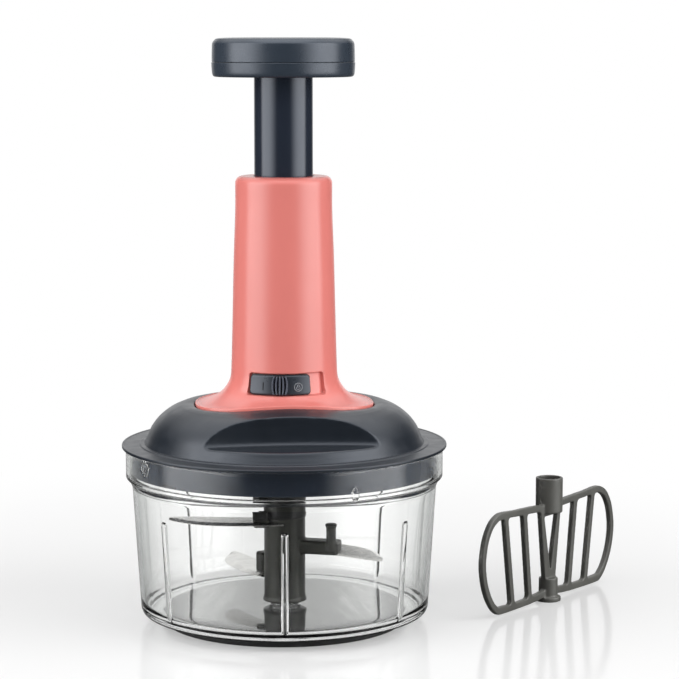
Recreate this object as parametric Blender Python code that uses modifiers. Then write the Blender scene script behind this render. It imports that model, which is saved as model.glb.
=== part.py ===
"""Hand-press vegetable chopper.

A clear bowl on a non-slip base, with a pivot pin for the blade unit, takes a domed lid that turns
into a bayonet. A tower on the lid guides a press knob. Under the knob a twisted bar runs through a
nut in the lid, so each press spins the nut, the output coupling and the blades. A slider on the
tower locks the knob down, and a mixing paddle stands beside the bowl.

Metres, +Z up. The origin is the centre of the base, on the surface that the chopper stands on.
Azimuths are in degrees about +Z, counted from the front (-Y) towards +X.
"""

import math

import bmesh
import bpy
from mathutils import Matrix

# Clearances and small shared sizes
GAP = 0.0003
RUN_GAP = 0.0004
OVERRUN = 0.002
MERGE = 0.00001
CLOSE = 0.000002

# Non-slip base
BASE_INSET = 0.0057
BASE_THICKNESS = 0.0047
BASE_EDGE = 0.0012
BASE_GROOVE = 0.0008
BASE_GROOVE_INNER = 0.038
BASE_GROOVE_OUTER = 0.044

# Bowl
BOWL_HEIGHT = 0.084
BOWL_FLOOR = 0.003
BOWL_WALL = 0.0022
BOWL_BAND_RADIUS = 0.0804
BOWL_BAND_WALL = 0.0018
BOWL_BAND_HEIGHT = 0.0145
BOWL_BAND_SLOPE = 0.0042
BOWL_BAND_STEP = 0.0032
BOWL_TAPER = 0.0037
BOWL_CORNER = 0.0065
BOWL_EDGE = 0.0005
BOWL_SEAT_INSET = 0.0063

# Ribs on the inside of the bowl
RIB_RADIUS = 0.0017
RIB_HEIGHT = 0.0495
RIB_AZIMUTHS = (0, 52, 136, 180, 224, 308)

# Bayonet: ramps inside the bowl's band, lugs on the lid's skirt
RAMP_AZIMUTHS = (-60, 120)
RAMP_LENGTH = 0.0085
RAMP_WIDTH = 0.0042
RAMP_DEPTH = 0.0007
RAMP_DROP = 0.0030
RAMP_TILT = 55
LUG_SPAN = 7
LUG_LEAD = 14
LUG_DEPTH = 0.0008
LID_TURN = 15
INDEX_AZIMUTH = 25
INDEX_WIDTH = 0.0017
INDEX_HEIGHT = 0.0032

# Pivot in the bowl's floor
PIN_RADIUS = 0.003
PIN_BOSS_RADIUS = 0.006
PIN_BOSS_HEIGHT = 0.008
PIN_BOSS_DRAFT = 0.0012
PIN_ROOT = 0.007

# Lid
LID_REST_TURN = 4
BRIM_OVERHANG = 0.0021
BRIM_THICKNESS = 0.0021
BRIM_STEP = 0.0006
BRIM_STEP_WIDTH = 0.0032
BRIM_WIDTH = 0.012
DOME_HEIGHT = 0.0208
DOME_WALL = 0.0026
SKIRT_GAP = 0.0012
SKIRT_WALL = 0.0022
SKIRT_DEPTH = 0.0117
FLOOR_WALL = 0.0027
COLLAR_RADIUS = 0.0224
COLLAR_WALL = 0.0042
WELL_SHARE = 0.461
WELL_DEPTH = 0.0012
CHAMBER_RADIUS = 0.0124
CHAMBER_WALL = 0.0028
CHAMBER_DEPTH = 0.0178
NECK_HOLE_RADIUS = 0.0095
DOME_SHARES = ((1.0, 0.0), (0.984, 0.17), (0.955, 0.40), (0.900, 0.635), (0.824, 0.825), (0.740, 0.945))
CREST_SHARES = ((0.0, 0.0), (0.35, 0.55), (0.7, 0.9), (1.0, 1.0))
CREST_RISE = 0.0014
CREST_WIDTH = 0.0025

# Finger recesses in the front and the back of the dome
SCOOP_SHARE = 0.7206
SCOOP_DEPTH = 0.0026
SCOOP_LEDGE = 0.0060
SCOOP_CURVE_RADIUS = 0.228
SCOOP_SPAN_SHARE = 0.85
SCOOP_STATIONS = 12
SCOOP_SHARES = ((0.0, 1.0), (0.60, 0.72), (0.92, 0.48), (1.0, 0.30), (0.80, 0.13), (0.25, 0.02), (-0.9, 0.0))

# Sealing ring in the brim
SEAL_WIDTH = 0.0014
SEAL_HEIGHT = 0.0011

# Drive cover under the lid
COVER_THICKNESS = 0.0024
COVER_NECK_DEPTH = 0.0086
COVER_NECK_WALL = 0.0025
COVER_SCREW_CIRCLE = 0.030
COVER_SCREW_AZIMUTHS = (30, 150, 270)
POST_RADIUS = 0.004

# Screws
SCREW_RADIUS = 0.0015
SCREW_HEAD_RADIUS = 0.0028
SCREW_HEAD = 0.0018
SCREW_BITE = 0.0085

# Tower
TOWER_HEIGHT = 0.1187
TOWER_TOP_RADIUS = 0.02435
TOWER_WAIST_RADIUS = 0.0277
TOWER_CORNER = 0.0036
TOWER_ROOF = 0.0036
TOWER_WALL = 0.0029
FLARE_HEIGHT = 0.0143
FOOT_EDGE = 0.0029
FOOT_WIDTH_SHARE = 0.6383
FOOT_DEPTH_SHARE = 0.4965
FOOT_EXPONENT = 2.55
FOOT_STEPS = 64
FLARE_SHARES = ((0.0, 1.0), (0.075, 0.79), (0.195, 0.577), (0.395, 0.39), (0.70, 0.147), (1.0, 0.0))
TOWER_SHARES = ((0.0, 1.0), (0.0, 0.86), (0.31, 0.62), (0.60, 0.31), (0.83, 0.12))
TOWER_SCREW_INSET = 0.0055
TOWER_SCREW_AZIMUTHS = (60, 120, 240, 300)
KEY_WIDTH = 0.004
KEY_DEPTH = 0.0031

# Travel lock
LOCK_TURN = 15
LOCK_SLOT_CENTRE = -0.9
LOCK_SLOT_HALF_ANGLE = 43.6
LOCK_SLOT_HEIGHT = 0.011
LOCK_SLOT_BASE = 0.0110
LOCK_SLOT_DEPTH = 0.0027
LOCK_PLATE_ANGLE = 67
LOCK_PLATE_LEAD = 2
LOCK_PLATE_THICKNESS = 0.0017
LOCK_RING_WALL = 0.0047
LOCK_RING_HEIGHT = 0.0100
LOCK_STEM_ANGLE = 20
LOCK_STEM_CENTRE = -10
LOCK_STEM_HEIGHT = 0.006
LOCK_LUG_ANGLE = 12
LOCK_LUG_HEIGHT = 0.005
LOCK_LUG_REACH = 0.0127
LOCK_GRIP_RIDGES = 4
LOCK_GRIP_PITCH = 4.1
LOCK_GRIP_SPAN = 2.2
LOCK_GRIP_DEPTH = 0.0013
LOCK_LEDGE = 0.0024
LOCK_PLAY = 3

# Plunger
STROKE = 0.046
TUBE_RADIUS = 0.01475
TUBE_WALL = 0.00235
TUBE_SHOWN = 0.0493
COLLAR_TUBE_RADIUS = 0.0205
COLLAR_TUBE_HEIGHT = 0.005
TUBE_LEG = 0.014
TUBE_LEG_ANGLE = 40
TUBE_LEG_NOTCH = 16
GUIDE_WALL = 0.0021
GUIDE_FLANGE = 0.0058

# Knob
KNOB_RADIUS = 0.0359
KNOB_HEIGHT = 0.0195
KNOB_WALL = 0.0025
KNOB_BASE_HEIGHT = 0.0073
KNOB_BASE_SHARES = ((1.0, 1.0), (0.997, 0.72), (0.990, 0.30), (0.982, 0.12), (0.966, 0.0))
KNOB_CAP_SHARES = ((0.335, 1.0), (0.70, 0.992), (0.912, 0.958), (0.958, 0.875), (0.980, 0.795), (0.990, 0.71),
                   (0.996, 0.3), (1.0, 0.0))
KNOB_LIP = 0.0028
KNOB_LIP_WALL = 0.0016
KNOB_WEB = 0.003

# Twisted drive bar, its holder and nut
BAR_WIDTH = 0.0075
BAR_THICKNESS = 0.003
BAR_LEAD = 0.030
BAR_STEPS_PER_TURN = 16
BAR_TAIL = 0.003
BAR_GRIP = 0.010
HOLDER_LENGTH = 0.017
HOLDER_FLANGE = 0.002
NUT_HEIGHT = 0.0085
NUT_TEETH = 6
NUT_TOOTH = 0.0014
NUT_TOOTH_STEPS = 4
NUT_FLOAT = 0.0005

# Springs
SPRING_PLAY = 0.0020
SPRING_WIRE = 0.0007
SPRING_TURNS = 12
CLUTCH_SPRING_RADIUS = 0.0085
CLUTCH_SPRING_WIRE = 0.00045
CLUTCH_SPRING_TURNS = 2
CURL_POINTS = 9

# Spring guide
SLEEVE_PLAY = 0.0011
SLEEVE_BORE = 0.0052
SLEEVE_HEIGHT = 0.020
SLEEVE_FLANGE = 0.002

# Output coupling
COUPLING_RADIUS = 0.0088
COUPLING_SPIGOT_RADIUS = 0.0074
COUPLING_SPIGOT = 0.0135
COUPLING_DISC = 0.0020
DOG_SLOT_ANGLE = 62
DOG_RIB_ANGLE = 22
DOG_LENGTH = 0.009

# Blade unit
HUB_RADIUS = 0.0105
HUB_BORE = 0.0056
HUB_SKIRT = 0.0007
HUB_LOW = 0.0022
HUB_OVERLAP = 0.0110
SOCKET_WALL = 0.0027
BLADE_THICKNESS = 0.0012
BLADE_CLEARANCE = 0.0115
BLADE_WIDTH = 0.0219
BLADE_TILT = 5
BLADE_SLOT = 0.0003
BLADE_LEAD_SHARES = ((0.0, 0.58), (0.15, 0.66), (0.33, 0.62), (0.49, 0.55), (0.685, 0.315), (0.835, 0.07))
BLADE_TAIL_SHARES = ((1.0, -0.38), (0.92, -0.30), (0.73, -0.205), (0.44, -0.165), (0.0, -0.145))
BLADE_TANG = 0.0014
UPPER_BLADE_HEIGHT = 0.0437
UPPER_HOLDER = 0.0160
UPPER_HOLDER_HEIGHT = 0.0145
HOLDER_WIDTH = 0.0150
HOLDER_LIP = 0.0014
UPPER_AZIMUTH = 270
MIDDLE_BLADE_HEIGHT = 0.0290
MIDDLE_INSET = 0.0078
MIDDLE_AZIMUTH = 74.7
MIDDLE_ARM = 0.0290
MIDDLE_ARM_WIDTH = 0.0100
MIDDLE_ARM_HEIGHT = 0.0070
MIDDLE_SHARE = 0.8
POST_OFFSET = 0.0264
POST_PEG_RADIUS = 0.0028
POST_PEG_HEIGHT = 0.0175
LOWER_BLADE_HEIGHT = 0.0150
LOWER_AZIMUTH = 210
LOWER_HOLDER_HEIGHT = 0.0130

# Mixing paddle
PADDLE_X = 0.1392
PADDLE_Y = 0.0355
PADDLE_ANGLE = 51.5
PADDLE_HALF_SPAN = 0.0645
PADDLE_FRAME_BASE = 0.0014
PADDLE_FRAME_HEIGHT = 0.0530
PADDLE_BAR = 0.0034
PADDLE_PLATE = 0.0030
PADDLE_SOCKET_RADIUS = 0.0071
PADDLE_SOCKET_WALL = 0.0013
PADDLE_SOCKET_HEIGHT = 0.0185
PADDLE_SOCKET_SINK = 0.0069
PADDLE_HUB_RADIUS = 0.0044
PADDLE_HUB_HEIGHT = 0.0124
PADDLE_FOOT_RADIUS = 0.0067
PADDLE_FOOT_HEIGHT = 0.0024
PADDLE_OUTLINE_SHARES = ((0.06, 0.955), (0.28, 0.975), (0.52, 0.985), (0.70, 1.0), (0.79, 0.985),
                         (0.88, 0.92), (0.955, 0.79), (0.993, 0.63), (1.0, 0.50), (0.975, 0.34),
                         (0.925, 0.20), (0.86, 0.09), (0.79, 0.02), (0.72, 0.0), (0.45, 0.0),
                         (0.20, 0.01), (0.06, 0.03))
PADDLE_VEE_SHARES = ((0.125, 0.90), (0.040, 0.12))
PADDLE_BAR_SHARES = (((0.385, 0.0), (0.300, 0.0)), ((0.660, 0.0), (0.555, 0.0)))

# Facets round the turned pieces
LARGE_FACETS = 48
MEDIUM_FACETS = 36
SMALL_FACETS = 20
SCREW_FACETS = 8
ARC_STEPS = 10

# Heights and radii that follow from the sizes above
bowl_bottom = BASE_THICKNESS + GAP
bowl_floor = bowl_bottom + BOWL_FLOOR
bowl_rim = bowl_bottom + BOWL_HEIGHT
band_bottom = bowl_rim - BOWL_BAND_HEIGHT
neck_top = band_bottom - BOWL_BAND_SLOPE
band_inner = BOWL_BAND_RADIUS - BOWL_BAND_WALL
neck_radius = BOWL_BAND_RADIUS - BOWL_BAND_STEP
heel_radius = neck_radius - BOWL_TAPER
seat_radius = heel_radius - BOWL_SEAT_INSET
base_radius = seat_radius - BASE_INSET
heel = bowl_bottom + BOWL_CORNER
boss_top = bowl_floor + PIN_BOSS_HEIGHT
pin_foot = boss_top - PIN_ROOT

brim_low = bowl_rim + GAP
brim_top = brim_low + BRIM_THICKNESS
skirt_outer = band_inner - SKIRT_GAP
skirt_inner = skirt_outer - SKIRT_WALL
skirt_low = brim_low - SKIRT_DEPTH
brim_radius = BOWL_BAND_RADIUS + BRIM_OVERHANG
dome_radius = brim_radius - BRIM_WIDTH
well_radius = dome_radius * WELL_SHARE
scoop_distance = dome_radius * SCOOP_SHARE
scoop_half_width = dome_radius * SCOOP_SPAN_SHARE
crest_top = brim_top + DOME_HEIGHT
foot_floor = crest_top - CREST_RISE - FOOT_EDGE - GAP
well_floor = foot_floor - WELL_DEPTH
lid_floor = well_floor - FLOOR_WALL
chamber_low = lid_floor - CHAMBER_DEPTH
collar_top = foot_floor + LOCK_SLOT_BASE - GAP

ramp_height = bowl_rim - RAMP_DROP - RAMP_WIDTH / 2
ramp_low = ramp_height - (RAMP_LENGTH * math.sin(math.radians(RAMP_TILT))
                          + RAMP_WIDTH * math.cos(math.radians(RAMP_TILT))) / 2
lug_low = skirt_low + GAP
lug_high = ramp_low - GAP

cover_top = chamber_low - GAP
cover_low = cover_top - COVER_THICKNESS
cover_radius = skirt_inner - GAP
neck_bore = COUPLING_RADIUS + RUN_GAP
neck_low = cover_top - COVER_NECK_DEPTH

tower_low = foot_floor + GAP
tower_top = tower_low + TOWER_HEIGHT
flare_low = tower_low + FOOT_EDGE
flare_top = flare_low + FLARE_HEIGHT
foot_half_width = dome_radius * FOOT_WIDTH_SHARE
foot_half_depth = dome_radius * FOOT_DEPTH_SHARE
tower_screw_circle = well_radius + TOWER_SCREW_INSET
tower_bore = TOWER_TOP_RADIUS - TOWER_WALL
lock_bore = COLLAR_RADIUS + GAP * 3
lock_ring_low = collar_top + GAP
lock_ring_top = lock_ring_low + LOCK_RING_HEIGHT
ledge_low = lock_ring_top + GAP
slot_low = tower_low + LOCK_SLOT_BASE
slot_high = slot_low + LOCK_SLOT_HEIGHT
slot_floor_radius = TOWER_WAIST_RADIUS - LOCK_SLOT_DEPTH

tube_bottom = ledge_low + LOCK_LEDGE + GAP + STROKE
collar_tube_top = tube_bottom + COLLAR_TUBE_HEIGHT
leg_bottom = tube_bottom - TUBE_LEG
knob_low = tower_top + TUBE_SHOWN
knob_seam = knob_low + KNOB_BASE_HEIGHT
knob_top = knob_low + KNOB_HEIGHT
tube_top = knob_low + KNOB_WEB
tube_bore = TUBE_RADIUS - TUBE_WALL
spring_radius = tube_bore - SPRING_PLAY - SPRING_WIRE
sleeve_radius = spring_radius - SPRING_WIRE - SLEEVE_PLAY
holder_top = tube_top + GAP + HOLDER_FLANGE
holder_low = tube_top - HOLDER_LENGTH
web_low = holder_top + GAP
web_top = web_low + KNOB_WEB

coupling_low = cover_top + GAP
coupling_top = coupling_low + COUPLING_DISC
nut_low = coupling_top + NUT_FLOAT
nut_body_low = nut_low + NUT_TOOTH
nut_high = nut_low + NUT_HEIGHT
nut_radius = CHAMBER_RADIUS - RUN_GAP
bar_pitch = BAR_LEAD / BAR_STEPS_PER_TURN
bar_first = math.floor((coupling_low - BAR_TAIL + COUPLING_DISC) / bar_pitch)
bar_tip = bar_first * bar_pitch
spigot_low = neck_low - COUPLING_SPIGOT
hub_top = neck_low - GAP * 5
hub_low = bowl_floor + HUB_LOW
socket_radius = HUB_RADIUS - SOCKET_WALL
socket_low = spigot_low - GAP * 2
pin_top = bar_tip - STROKE - OVERRUN
pin_bore = PIN_RADIUS + GAP
blade_reach = heel_radius - BOWL_WALL - BLADE_CLEARANCE
middle_reach = blade_reach - MIDDLE_INSET

paddle_socket_low = PADDLE_FRAME_BASE + PADDLE_FRAME_HEIGHT - PADDLE_SOCKET_SINK
paddle_height = paddle_socket_low + PADDLE_SOCKET_HEIGHT


def clear_scene():
    """Remove what the scene holds before the model is built."""
    for item in list(bpy.data.objects):
        bpy.data.objects.remove(item, do_unlink=True)


def make_collection(name):
    """Add a collection to the scene."""
    collection = bpy.data.collections.new(name)
    bpy.context.scene.collection.children.link(collection)
    return collection


clear_scene()
parts = make_collection("vegetable_chopper")
tools = make_collection("cutters")


def make_material(name, colour, roughness, metallic=0.0, transmission=0.0):
    """Add a Principled material."""
    material = bpy.data.materials.new(name)
    material.use_nodes = True
    shader = material.node_tree.nodes["Principled BSDF"]
    shader.inputs["Base Color"].default_value = (*colour, 1.0)
    shader.inputs["Roughness"].default_value = roughness
    shader.inputs["Metallic"].default_value = metallic
    shader.inputs["Transmission Weight"].default_value = transmission
    material.diffuse_color = (*colour, 1.0)
    return material


CORAL = ((0.75, 0.21, 0.18), 0.30)
SLATE = ((0.035, 0.042, 0.052), 0.32)
GREY = ((0.10, 0.10, 0.095), 0.45)
CLEAR = ((0.86, 0.90, 0.89), 0.05, 0.0, 0.9)
STEEL = ((0.62, 0.63, 0.64), 0.25, 1.0)
RUBBER = ((0.03, 0.03, 0.032), 0.80)
NYLON = ((0.80, 0.79, 0.74), 0.50)


def make_axis(name, parent=None, turn=0):
    """Add the empty that carries the pieces of one moving body."""
    axis = bpy.data.objects.new(name, None)
    axis.rotation_euler.z = math.radians(turn)
    axis.parent = parent
    parts.objects.link(axis)
    return axis


lid_axis = make_axis("lid_axis", turn=LID_REST_TURN)
plunger_axis = make_axis("plunger_axis", lid_axis)
drive_axis = make_axis("drive_axis", lid_axis)
lock_axis = make_axis("lock_axis", lid_axis)
blade_axis = make_axis("blade_axis")
paddle_axis = make_axis("paddle_axis")
paddle_axis.location.x = PADDLE_X
paddle_axis.location.y = PADDLE_Y
paddle_axis.rotation_euler.z = math.radians(PADDLE_ANGLE)


def add_part(name, data, finish, parent=None):
    """Add a named piece with its own material."""
    item = bpy.data.objects.new(name, data)
    item.parent = parent
    data.materials.append(make_material(name, *finish))
    parts.objects.link(item)
    return item


def add_tool(name, data, parent=None):
    """Add a cutter or a feature that a piece is joined with."""
    item = bpy.data.objects.new(name, data)
    item.parent = parent
    item.hide_render = True
    item.display_type = "WIRE"
    tools.objects.link(item)
    return item


def smooth(item, angle=40):
    """Shade a round piece smooth and keep its edges sharp."""
    item.data.shade_smooth()
    item.data.set_sharp_from_angle(angle=math.radians(angle))


def profile_mesh(name, points, closed=True):
    """Make the outline that a turned piece is turned from: (radius, height) points."""
    mesh = bpy.data.meshes.new(name)
    edges = [(index, index + 1) for index in range(len(points) - 1)]
    if closed:
        edges.append((len(points) - 1, 0))
    mesh.from_pydata([(radius, 0, height) for radius, height in points], edges, [])
    return mesh


def turn(item, facets):
    """Turn an outline about Z into a solid."""
    screw = item.modifiers.new("turned", "SCREW")
    screw.axis = "Z"
    screw.angle = math.tau
    screw.steps = facets
    screw.render_steps = facets
    screw.use_merge_vertices = True
    screw.merge_threshold = MERGE
    return item


def turned_part(name, points, finish, facets, parent=None, closed=True):
    """Add a piece turned from its outline, which runs down its outer side."""
    return turn(add_part(name, profile_mesh(name, points, closed), finish, parent), facets)


def turned_tool(name, points, facets, parent=None, closed=True):
    """Add a turned cutter."""
    return turn(add_tool(name, profile_mesh(name, points, closed), parent), facets)


def combine(item, tool, operation):
    """Cut a piece with a tool, join the two, or keep what they share."""
    modifier = item.modifiers.new(tool.name, "BOOLEAN")
    modifier.operation = operation
    modifier.solver = "EXACT"
    modifier.object = tool


def cut(item, tool):
    """Take a tool's shape away from a piece."""
    combine(item, tool, "DIFFERENCE")


def join(item, tool):
    """Join a tool's shape to a piece."""
    combine(item, tool, "UNION")


def polar(radius, azimuth):
    """Give the point at a radius and an azimuth from the front."""
    angle = math.radians(azimuth)
    return radius * math.sin(angle), -radius * math.cos(angle)


def curve_solid(curve):
    """Turn a filled curve into a closed mesh."""
    item = bpy.data.objects.new(curve.name, curve)
    tools.objects.link(item)
    bpy.context.view_layer.update()
    mesh = bpy.data.meshes.new_from_object(item.evaluated_get(bpy.context.evaluated_depsgraph_get()))
    mesh.transform(item.matrix_world)
    bpy.data.objects.remove(item)
    shape = bmesh.new()
    shape.from_mesh(mesh)
    bmesh.ops.remove_doubles(shape, verts=shape.verts, dist=CLOSE)
    bmesh.ops.recalc_face_normals(shape, faces=shape.faces)
    shape.to_mesh(mesh)
    shape.free()
    return mesh


def prism_mesh(name, outlines, low, high):
    """Make an upright prism from flat outlines; later outlines are holes."""
    curve = bpy.data.curves.new(name, "CURVE")
    curve.dimensions = "2D"
    curve.fill_mode = "BOTH"
    curve.extrude = (high - low) / 2
    for outline in outlines:
        spline = curve.splines.new("POLY")
        spline.points.add(len(outline) - 1)
        for point, (x, y) in zip(spline.points, outline):
            point.co = (x, y, 0, 1)
        spline.use_cyclic_u = True
    mesh = curve_solid(curve)
    mesh.transform(Matrix.Translation((0, 0, (high + low) / 2)))
    return mesh


def sector_outline(inner, outer, start, end, steps=ARC_STEPS):
    """Give the outline of a piece of ring between two azimuths."""
    azimuths = [start + (end - start) * step / steps for step in range(steps + 1)]
    outside = [polar(outer, azimuth) for azimuth in azimuths]
    return outside + [polar(inner, azimuth) for azimuth in reversed(azimuths)]


def sector_mesh(name, inner, outer, start, end, low, high, steps=ARC_STEPS):
    """Make a piece of ring."""
    return prism_mesh(name, [sector_outline(inner, outer, start, end, steps)], low, high)


def circle_outline(radius, facets):
    """Give a circle's points."""
    return [polar(radius, 360 * step / facets) for step in range(facets)]


def merged_mesh(name, meshes):
    """Put several meshes that don't touch into one."""
    shape = bmesh.new()
    for mesh in meshes:
        shape.from_mesh(mesh)
        bpy.data.meshes.remove(mesh)
    merged = bpy.data.meshes.new(name)
    shape.to_mesh(merged)
    shape.free()
    return merged


def rod_mesh(name, radius, low, high, facets, x=0, y=0, top_radius=None):
    """Make an upright round rod."""
    shape = bmesh.new()
    top = radius if top_radius is None else top_radius
    bmesh.ops.create_cone(shape, cap_ends=True, segments=facets, radius1=radius, radius2=top,
                          depth=high - low, matrix=Matrix.Translation((x, y, (low + high) / 2)))
    mesh = bpy.data.meshes.new(name)
    shape.to_mesh(mesh)
    shape.free()
    return mesh


def block_mesh(name, low_corner, high_corner):
    """Make a box between two corners."""
    size = [high - low for low, high in zip(low_corner, high_corner)]
    centre = [(high + low) / 2 for low, high in zip(low_corner, high_corner)]
    shape = bmesh.new()
    bmesh.ops.create_cube(shape, size=1, matrix=Matrix.Translation(centre) @ Matrix.Diagonal((*size, 1)))
    mesh = bpy.data.meshes.new(name)
    shape.to_mesh(mesh)
    shape.free()
    return mesh


def turned_matrix(azimuth):
    """Give the frame whose X points out along an azimuth and whose Y leads it."""
    return Matrix.Rotation(math.radians(azimuth - 90), 4, "Z")


def bowl_inner_radius(height):
    """Give the inside radius of the bowl's wall at a height."""
    share = (height - heel) / (neck_top - heel)
    return heel_radius + (neck_radius - heel_radius) * share - BOWL_WALL


def flare_points():
    """Give the tower's outline from its waist down to the tips of its foot."""
    spread = foot_half_width - TOWER_WAIST_RADIUS
    return [(TOWER_WAIST_RADIUS + spread * across, flare_low + FLARE_HEIGHT * up)
            for across, up in FLARE_SHARES]


def flare_height(radius):
    """Give the height of the flare at a radius."""
    points = flare_points()
    for (near, high), (far, low) in zip(points, points[1:]):
        if radius <= far:
            return high + (low - high) * (radius - near) / (far - near)
    return points[-1][1]


def foot_outline(margin):
    """Give the oval outline of the tower's foot, grown by a margin."""
    outline = []
    for step in range(FOOT_STEPS):
        angle = math.tau * step / FOOT_STEPS
        cosine = math.cos(angle)
        sine = math.sin(angle)
        x = math.copysign(abs(cosine) ** (2 / FOOT_EXPONENT), cosine) * (foot_half_width + margin)
        y = math.copysign(abs(sine) ** (2 / FOOT_EXPONENT), sine) * (foot_half_depth + margin)
        outline.append((x, y))
    return outline


def make_base():
    """Model the non-slip disc under the bowl."""
    outline = [(0, BASE_THICKNESS), (base_radius - BASE_EDGE, BASE_THICKNESS),
               (base_radius, BASE_THICKNESS - BASE_EDGE), (base_radius, BASE_EDGE),
               (base_radius - BASE_EDGE, 0), (BASE_GROOVE_OUTER, 0), (BASE_GROOVE_OUTER, BASE_GROOVE),
               (BASE_GROOVE_INNER, BASE_GROOVE), (BASE_GROOVE_INNER, 0), (0, 0)]
    smooth(turned_part("non_slip_base", outline, RUBBER, MEDIUM_FACETS, closed=False))


def rib_mesh(azimuth):
    """Make one half-round rib with a rounded top, lying along the bowl's wall."""
    low = bowl_floor + BOWL_CORNER * 0.4
    high = low + RIB_HEIGHT
    lean = math.atan2(bowl_inner_radius(high) - bowl_inner_radius(low), high - low)
    body = rod_mesh("rib", RIB_RADIUS, 0, RIB_HEIGHT, 8)
    shape = bmesh.new()
    shape.from_mesh(body)
    crown = [vertex for vertex in shape.verts if vertex.co.z > RIB_HEIGHT / 2]
    bmesh.ops.bevel(shape, geom=list({edge for vertex in crown for edge in vertex.link_edges
                                      if all(end in crown for end in edge.verts)}),
                    offset=RIB_RADIUS * 0.7, segments=2, profile=0.6, affect="EDGES")
    shape.to_mesh(body)
    shape.free()
    place = turned_matrix(azimuth) @ Matrix.Translation((bowl_inner_radius(low), 0, low))
    body.transform(place @ Matrix.Rotation(lean, 4, "Y"))
    return body


def ramp_mesh(azimuth):
    """Make one slanting bayonet ramp inside the bowl's band."""
    ramp = block_mesh("ramp", (-RAMP_DEPTH, -RAMP_LENGTH / 2, -RAMP_WIDTH / 2),
                      (BOWL_BAND_WALL / 2, RAMP_LENGTH / 2, RAMP_WIDTH / 2))
    shape = bmesh.new()
    shape.from_mesh(ramp)
    ends = [edge for edge in shape.edges if abs(edge.verts[0].co.x - edge.verts[1].co.x) > RAMP_DEPTH / 2]
    bmesh.ops.bevel(shape, geom=ends, offset=RAMP_WIDTH * 0.3, segments=2, profile=0.5, affect="EDGES")
    shape.to_mesh(ramp)
    shape.free()
    place = turned_matrix(azimuth) @ Matrix.Translation((band_inner, 0, ramp_height))
    ramp.transform(place @ Matrix.Rotation(math.radians(-RAMP_TILT), 4, "X"))
    return ramp


def make_bowl():
    """Model the clear bowl with its band, ribs, bayonet ramps and pin boss."""
    boss_foot = PIN_BOSS_RADIUS + PIN_BOSS_DRAFT
    inner_heel = heel_radius - BOWL_WALL
    inner_corner = BOWL_CORNER - BOWL_FLOOR / 2
    outline = [(0, pin_foot), (pin_bore, pin_foot), (pin_bore, boss_top), (PIN_BOSS_RADIUS, boss_top),
               (boss_foot, bowl_floor), (inner_heel - inner_corner, bowl_floor),
               (inner_heel - inner_corner * 0.35, bowl_floor + inner_corner * 0.25),
               (inner_heel, bowl_floor + inner_corner), (neck_radius - BOWL_WALL, neck_top),
               (band_inner, band_bottom), (band_inner, bowl_rim - BOWL_EDGE),
               (band_inner + BOWL_EDGE, bowl_rim), (BOWL_BAND_RADIUS - BOWL_EDGE, bowl_rim),
               (BOWL_BAND_RADIUS, bowl_rim - BOWL_EDGE), (BOWL_BAND_RADIUS, band_bottom),
               (neck_radius, neck_top), (heel_radius, heel),
               (heel_radius - BOWL_CORNER * 0.15, heel - BOWL_CORNER * 0.45),
               (heel_radius - BOWL_CORNER * 0.45, heel - BOWL_CORNER * 0.85),
               (seat_radius, bowl_bottom), (0, bowl_bottom)]
    bowl = turned_part("bowl", outline, CLEAR, LARGE_FACETS, closed=False)
    smooth(bowl)
    ribs = [rib_mesh(azimuth) for azimuth in RIB_AZIMUTHS]
    join(bowl, add_tool("bowl_ribs", merged_mesh("bowl_ribs", ribs)))
    ramps = [ramp_mesh(azimuth) for azimuth in RAMP_AZIMUTHS]
    join(bowl, add_tool("bowl_ramps", merged_mesh("bowl_ramps", ramps)))
    shape = bmesh.new()
    centre = Matrix.Translation((BOWL_BAND_RADIUS, 0, band_bottom + INDEX_HEIGHT))
    place = turned_matrix(INDEX_AZIMUTH) @ centre
    bmesh.ops.create_uvsphere(shape, u_segments=8, v_segments=6, radius=1,
                              matrix=place @ Matrix.Diagonal((INDEX_WIDTH / 2, INDEX_WIDTH, INDEX_HEIGHT, 1)))
    drop = bpy.data.meshes.new("index_mark")
    shape.to_mesh(drop)
    shape.free()
    join(bowl, add_tool("index_mark", drop))

    pin_low = pin_foot + GAP
    pin = [(0, pin_top), (PIN_RADIUS - GAP * 2, pin_top), (PIN_RADIUS, pin_top - GAP * 2),
           (PIN_RADIUS, pin_low), (0, pin_low)]
    smooth(turned_part("pivot_pin", pin, STEEL, SMALL_FACETS, closed=False))


def scoop_mesh(name, margin, side):
    """Make the block that a finger recess is cut with, hollowed towards the axis."""
    low = brim_top + SCOOP_LEDGE - margin
    high = crest_top + SCOOP_LEDGE
    far = brim_radius
    section = []
    for across, up in SCOOP_SHARES:
        section.append((scoop_distance - SCOOP_DEPTH * across - margin, low + (high - low) * up))
    section[-1] = (section[-1][0], low)
    section += [(far, low), (far, high)]
    shape = bmesh.new()
    rows = []
    for station in range(SCOOP_STATIONS + 1):
        x = scoop_half_width * (2 * station / SCOOP_STATIONS - 1)
        bow = x * x / (2 * SCOOP_CURVE_RADIUS)
        rows.append([shape.verts.new((x * side, -(distance + bow) * side, height))
                     for distance, height in section])
    shape.faces.new(rows[0])
    shape.faces.new(list(reversed(rows[-1])))
    for near, next_row in zip(rows, rows[1:]):
        for index in range(len(section)):
            after = (index + 1) % len(section)
            shape.faces.new((near[after], near[index], next_row[index], next_row[after]))
    bmesh.ops.recalc_face_normals(shape, faces=shape.faces)
    mesh = bpy.data.meshes.new(name)
    shape.to_mesh(mesh)
    shape.free()
    return mesh


def dome_points(inset):
    """Give the dome's outline from its crest down to its base, set in by a wall."""
    points = []
    for across, up in reversed(DOME_SHARES):
        points.append((dome_radius * across - inset, brim_top + DOME_HEIGHT * up - inset * up))
    return points


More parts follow.
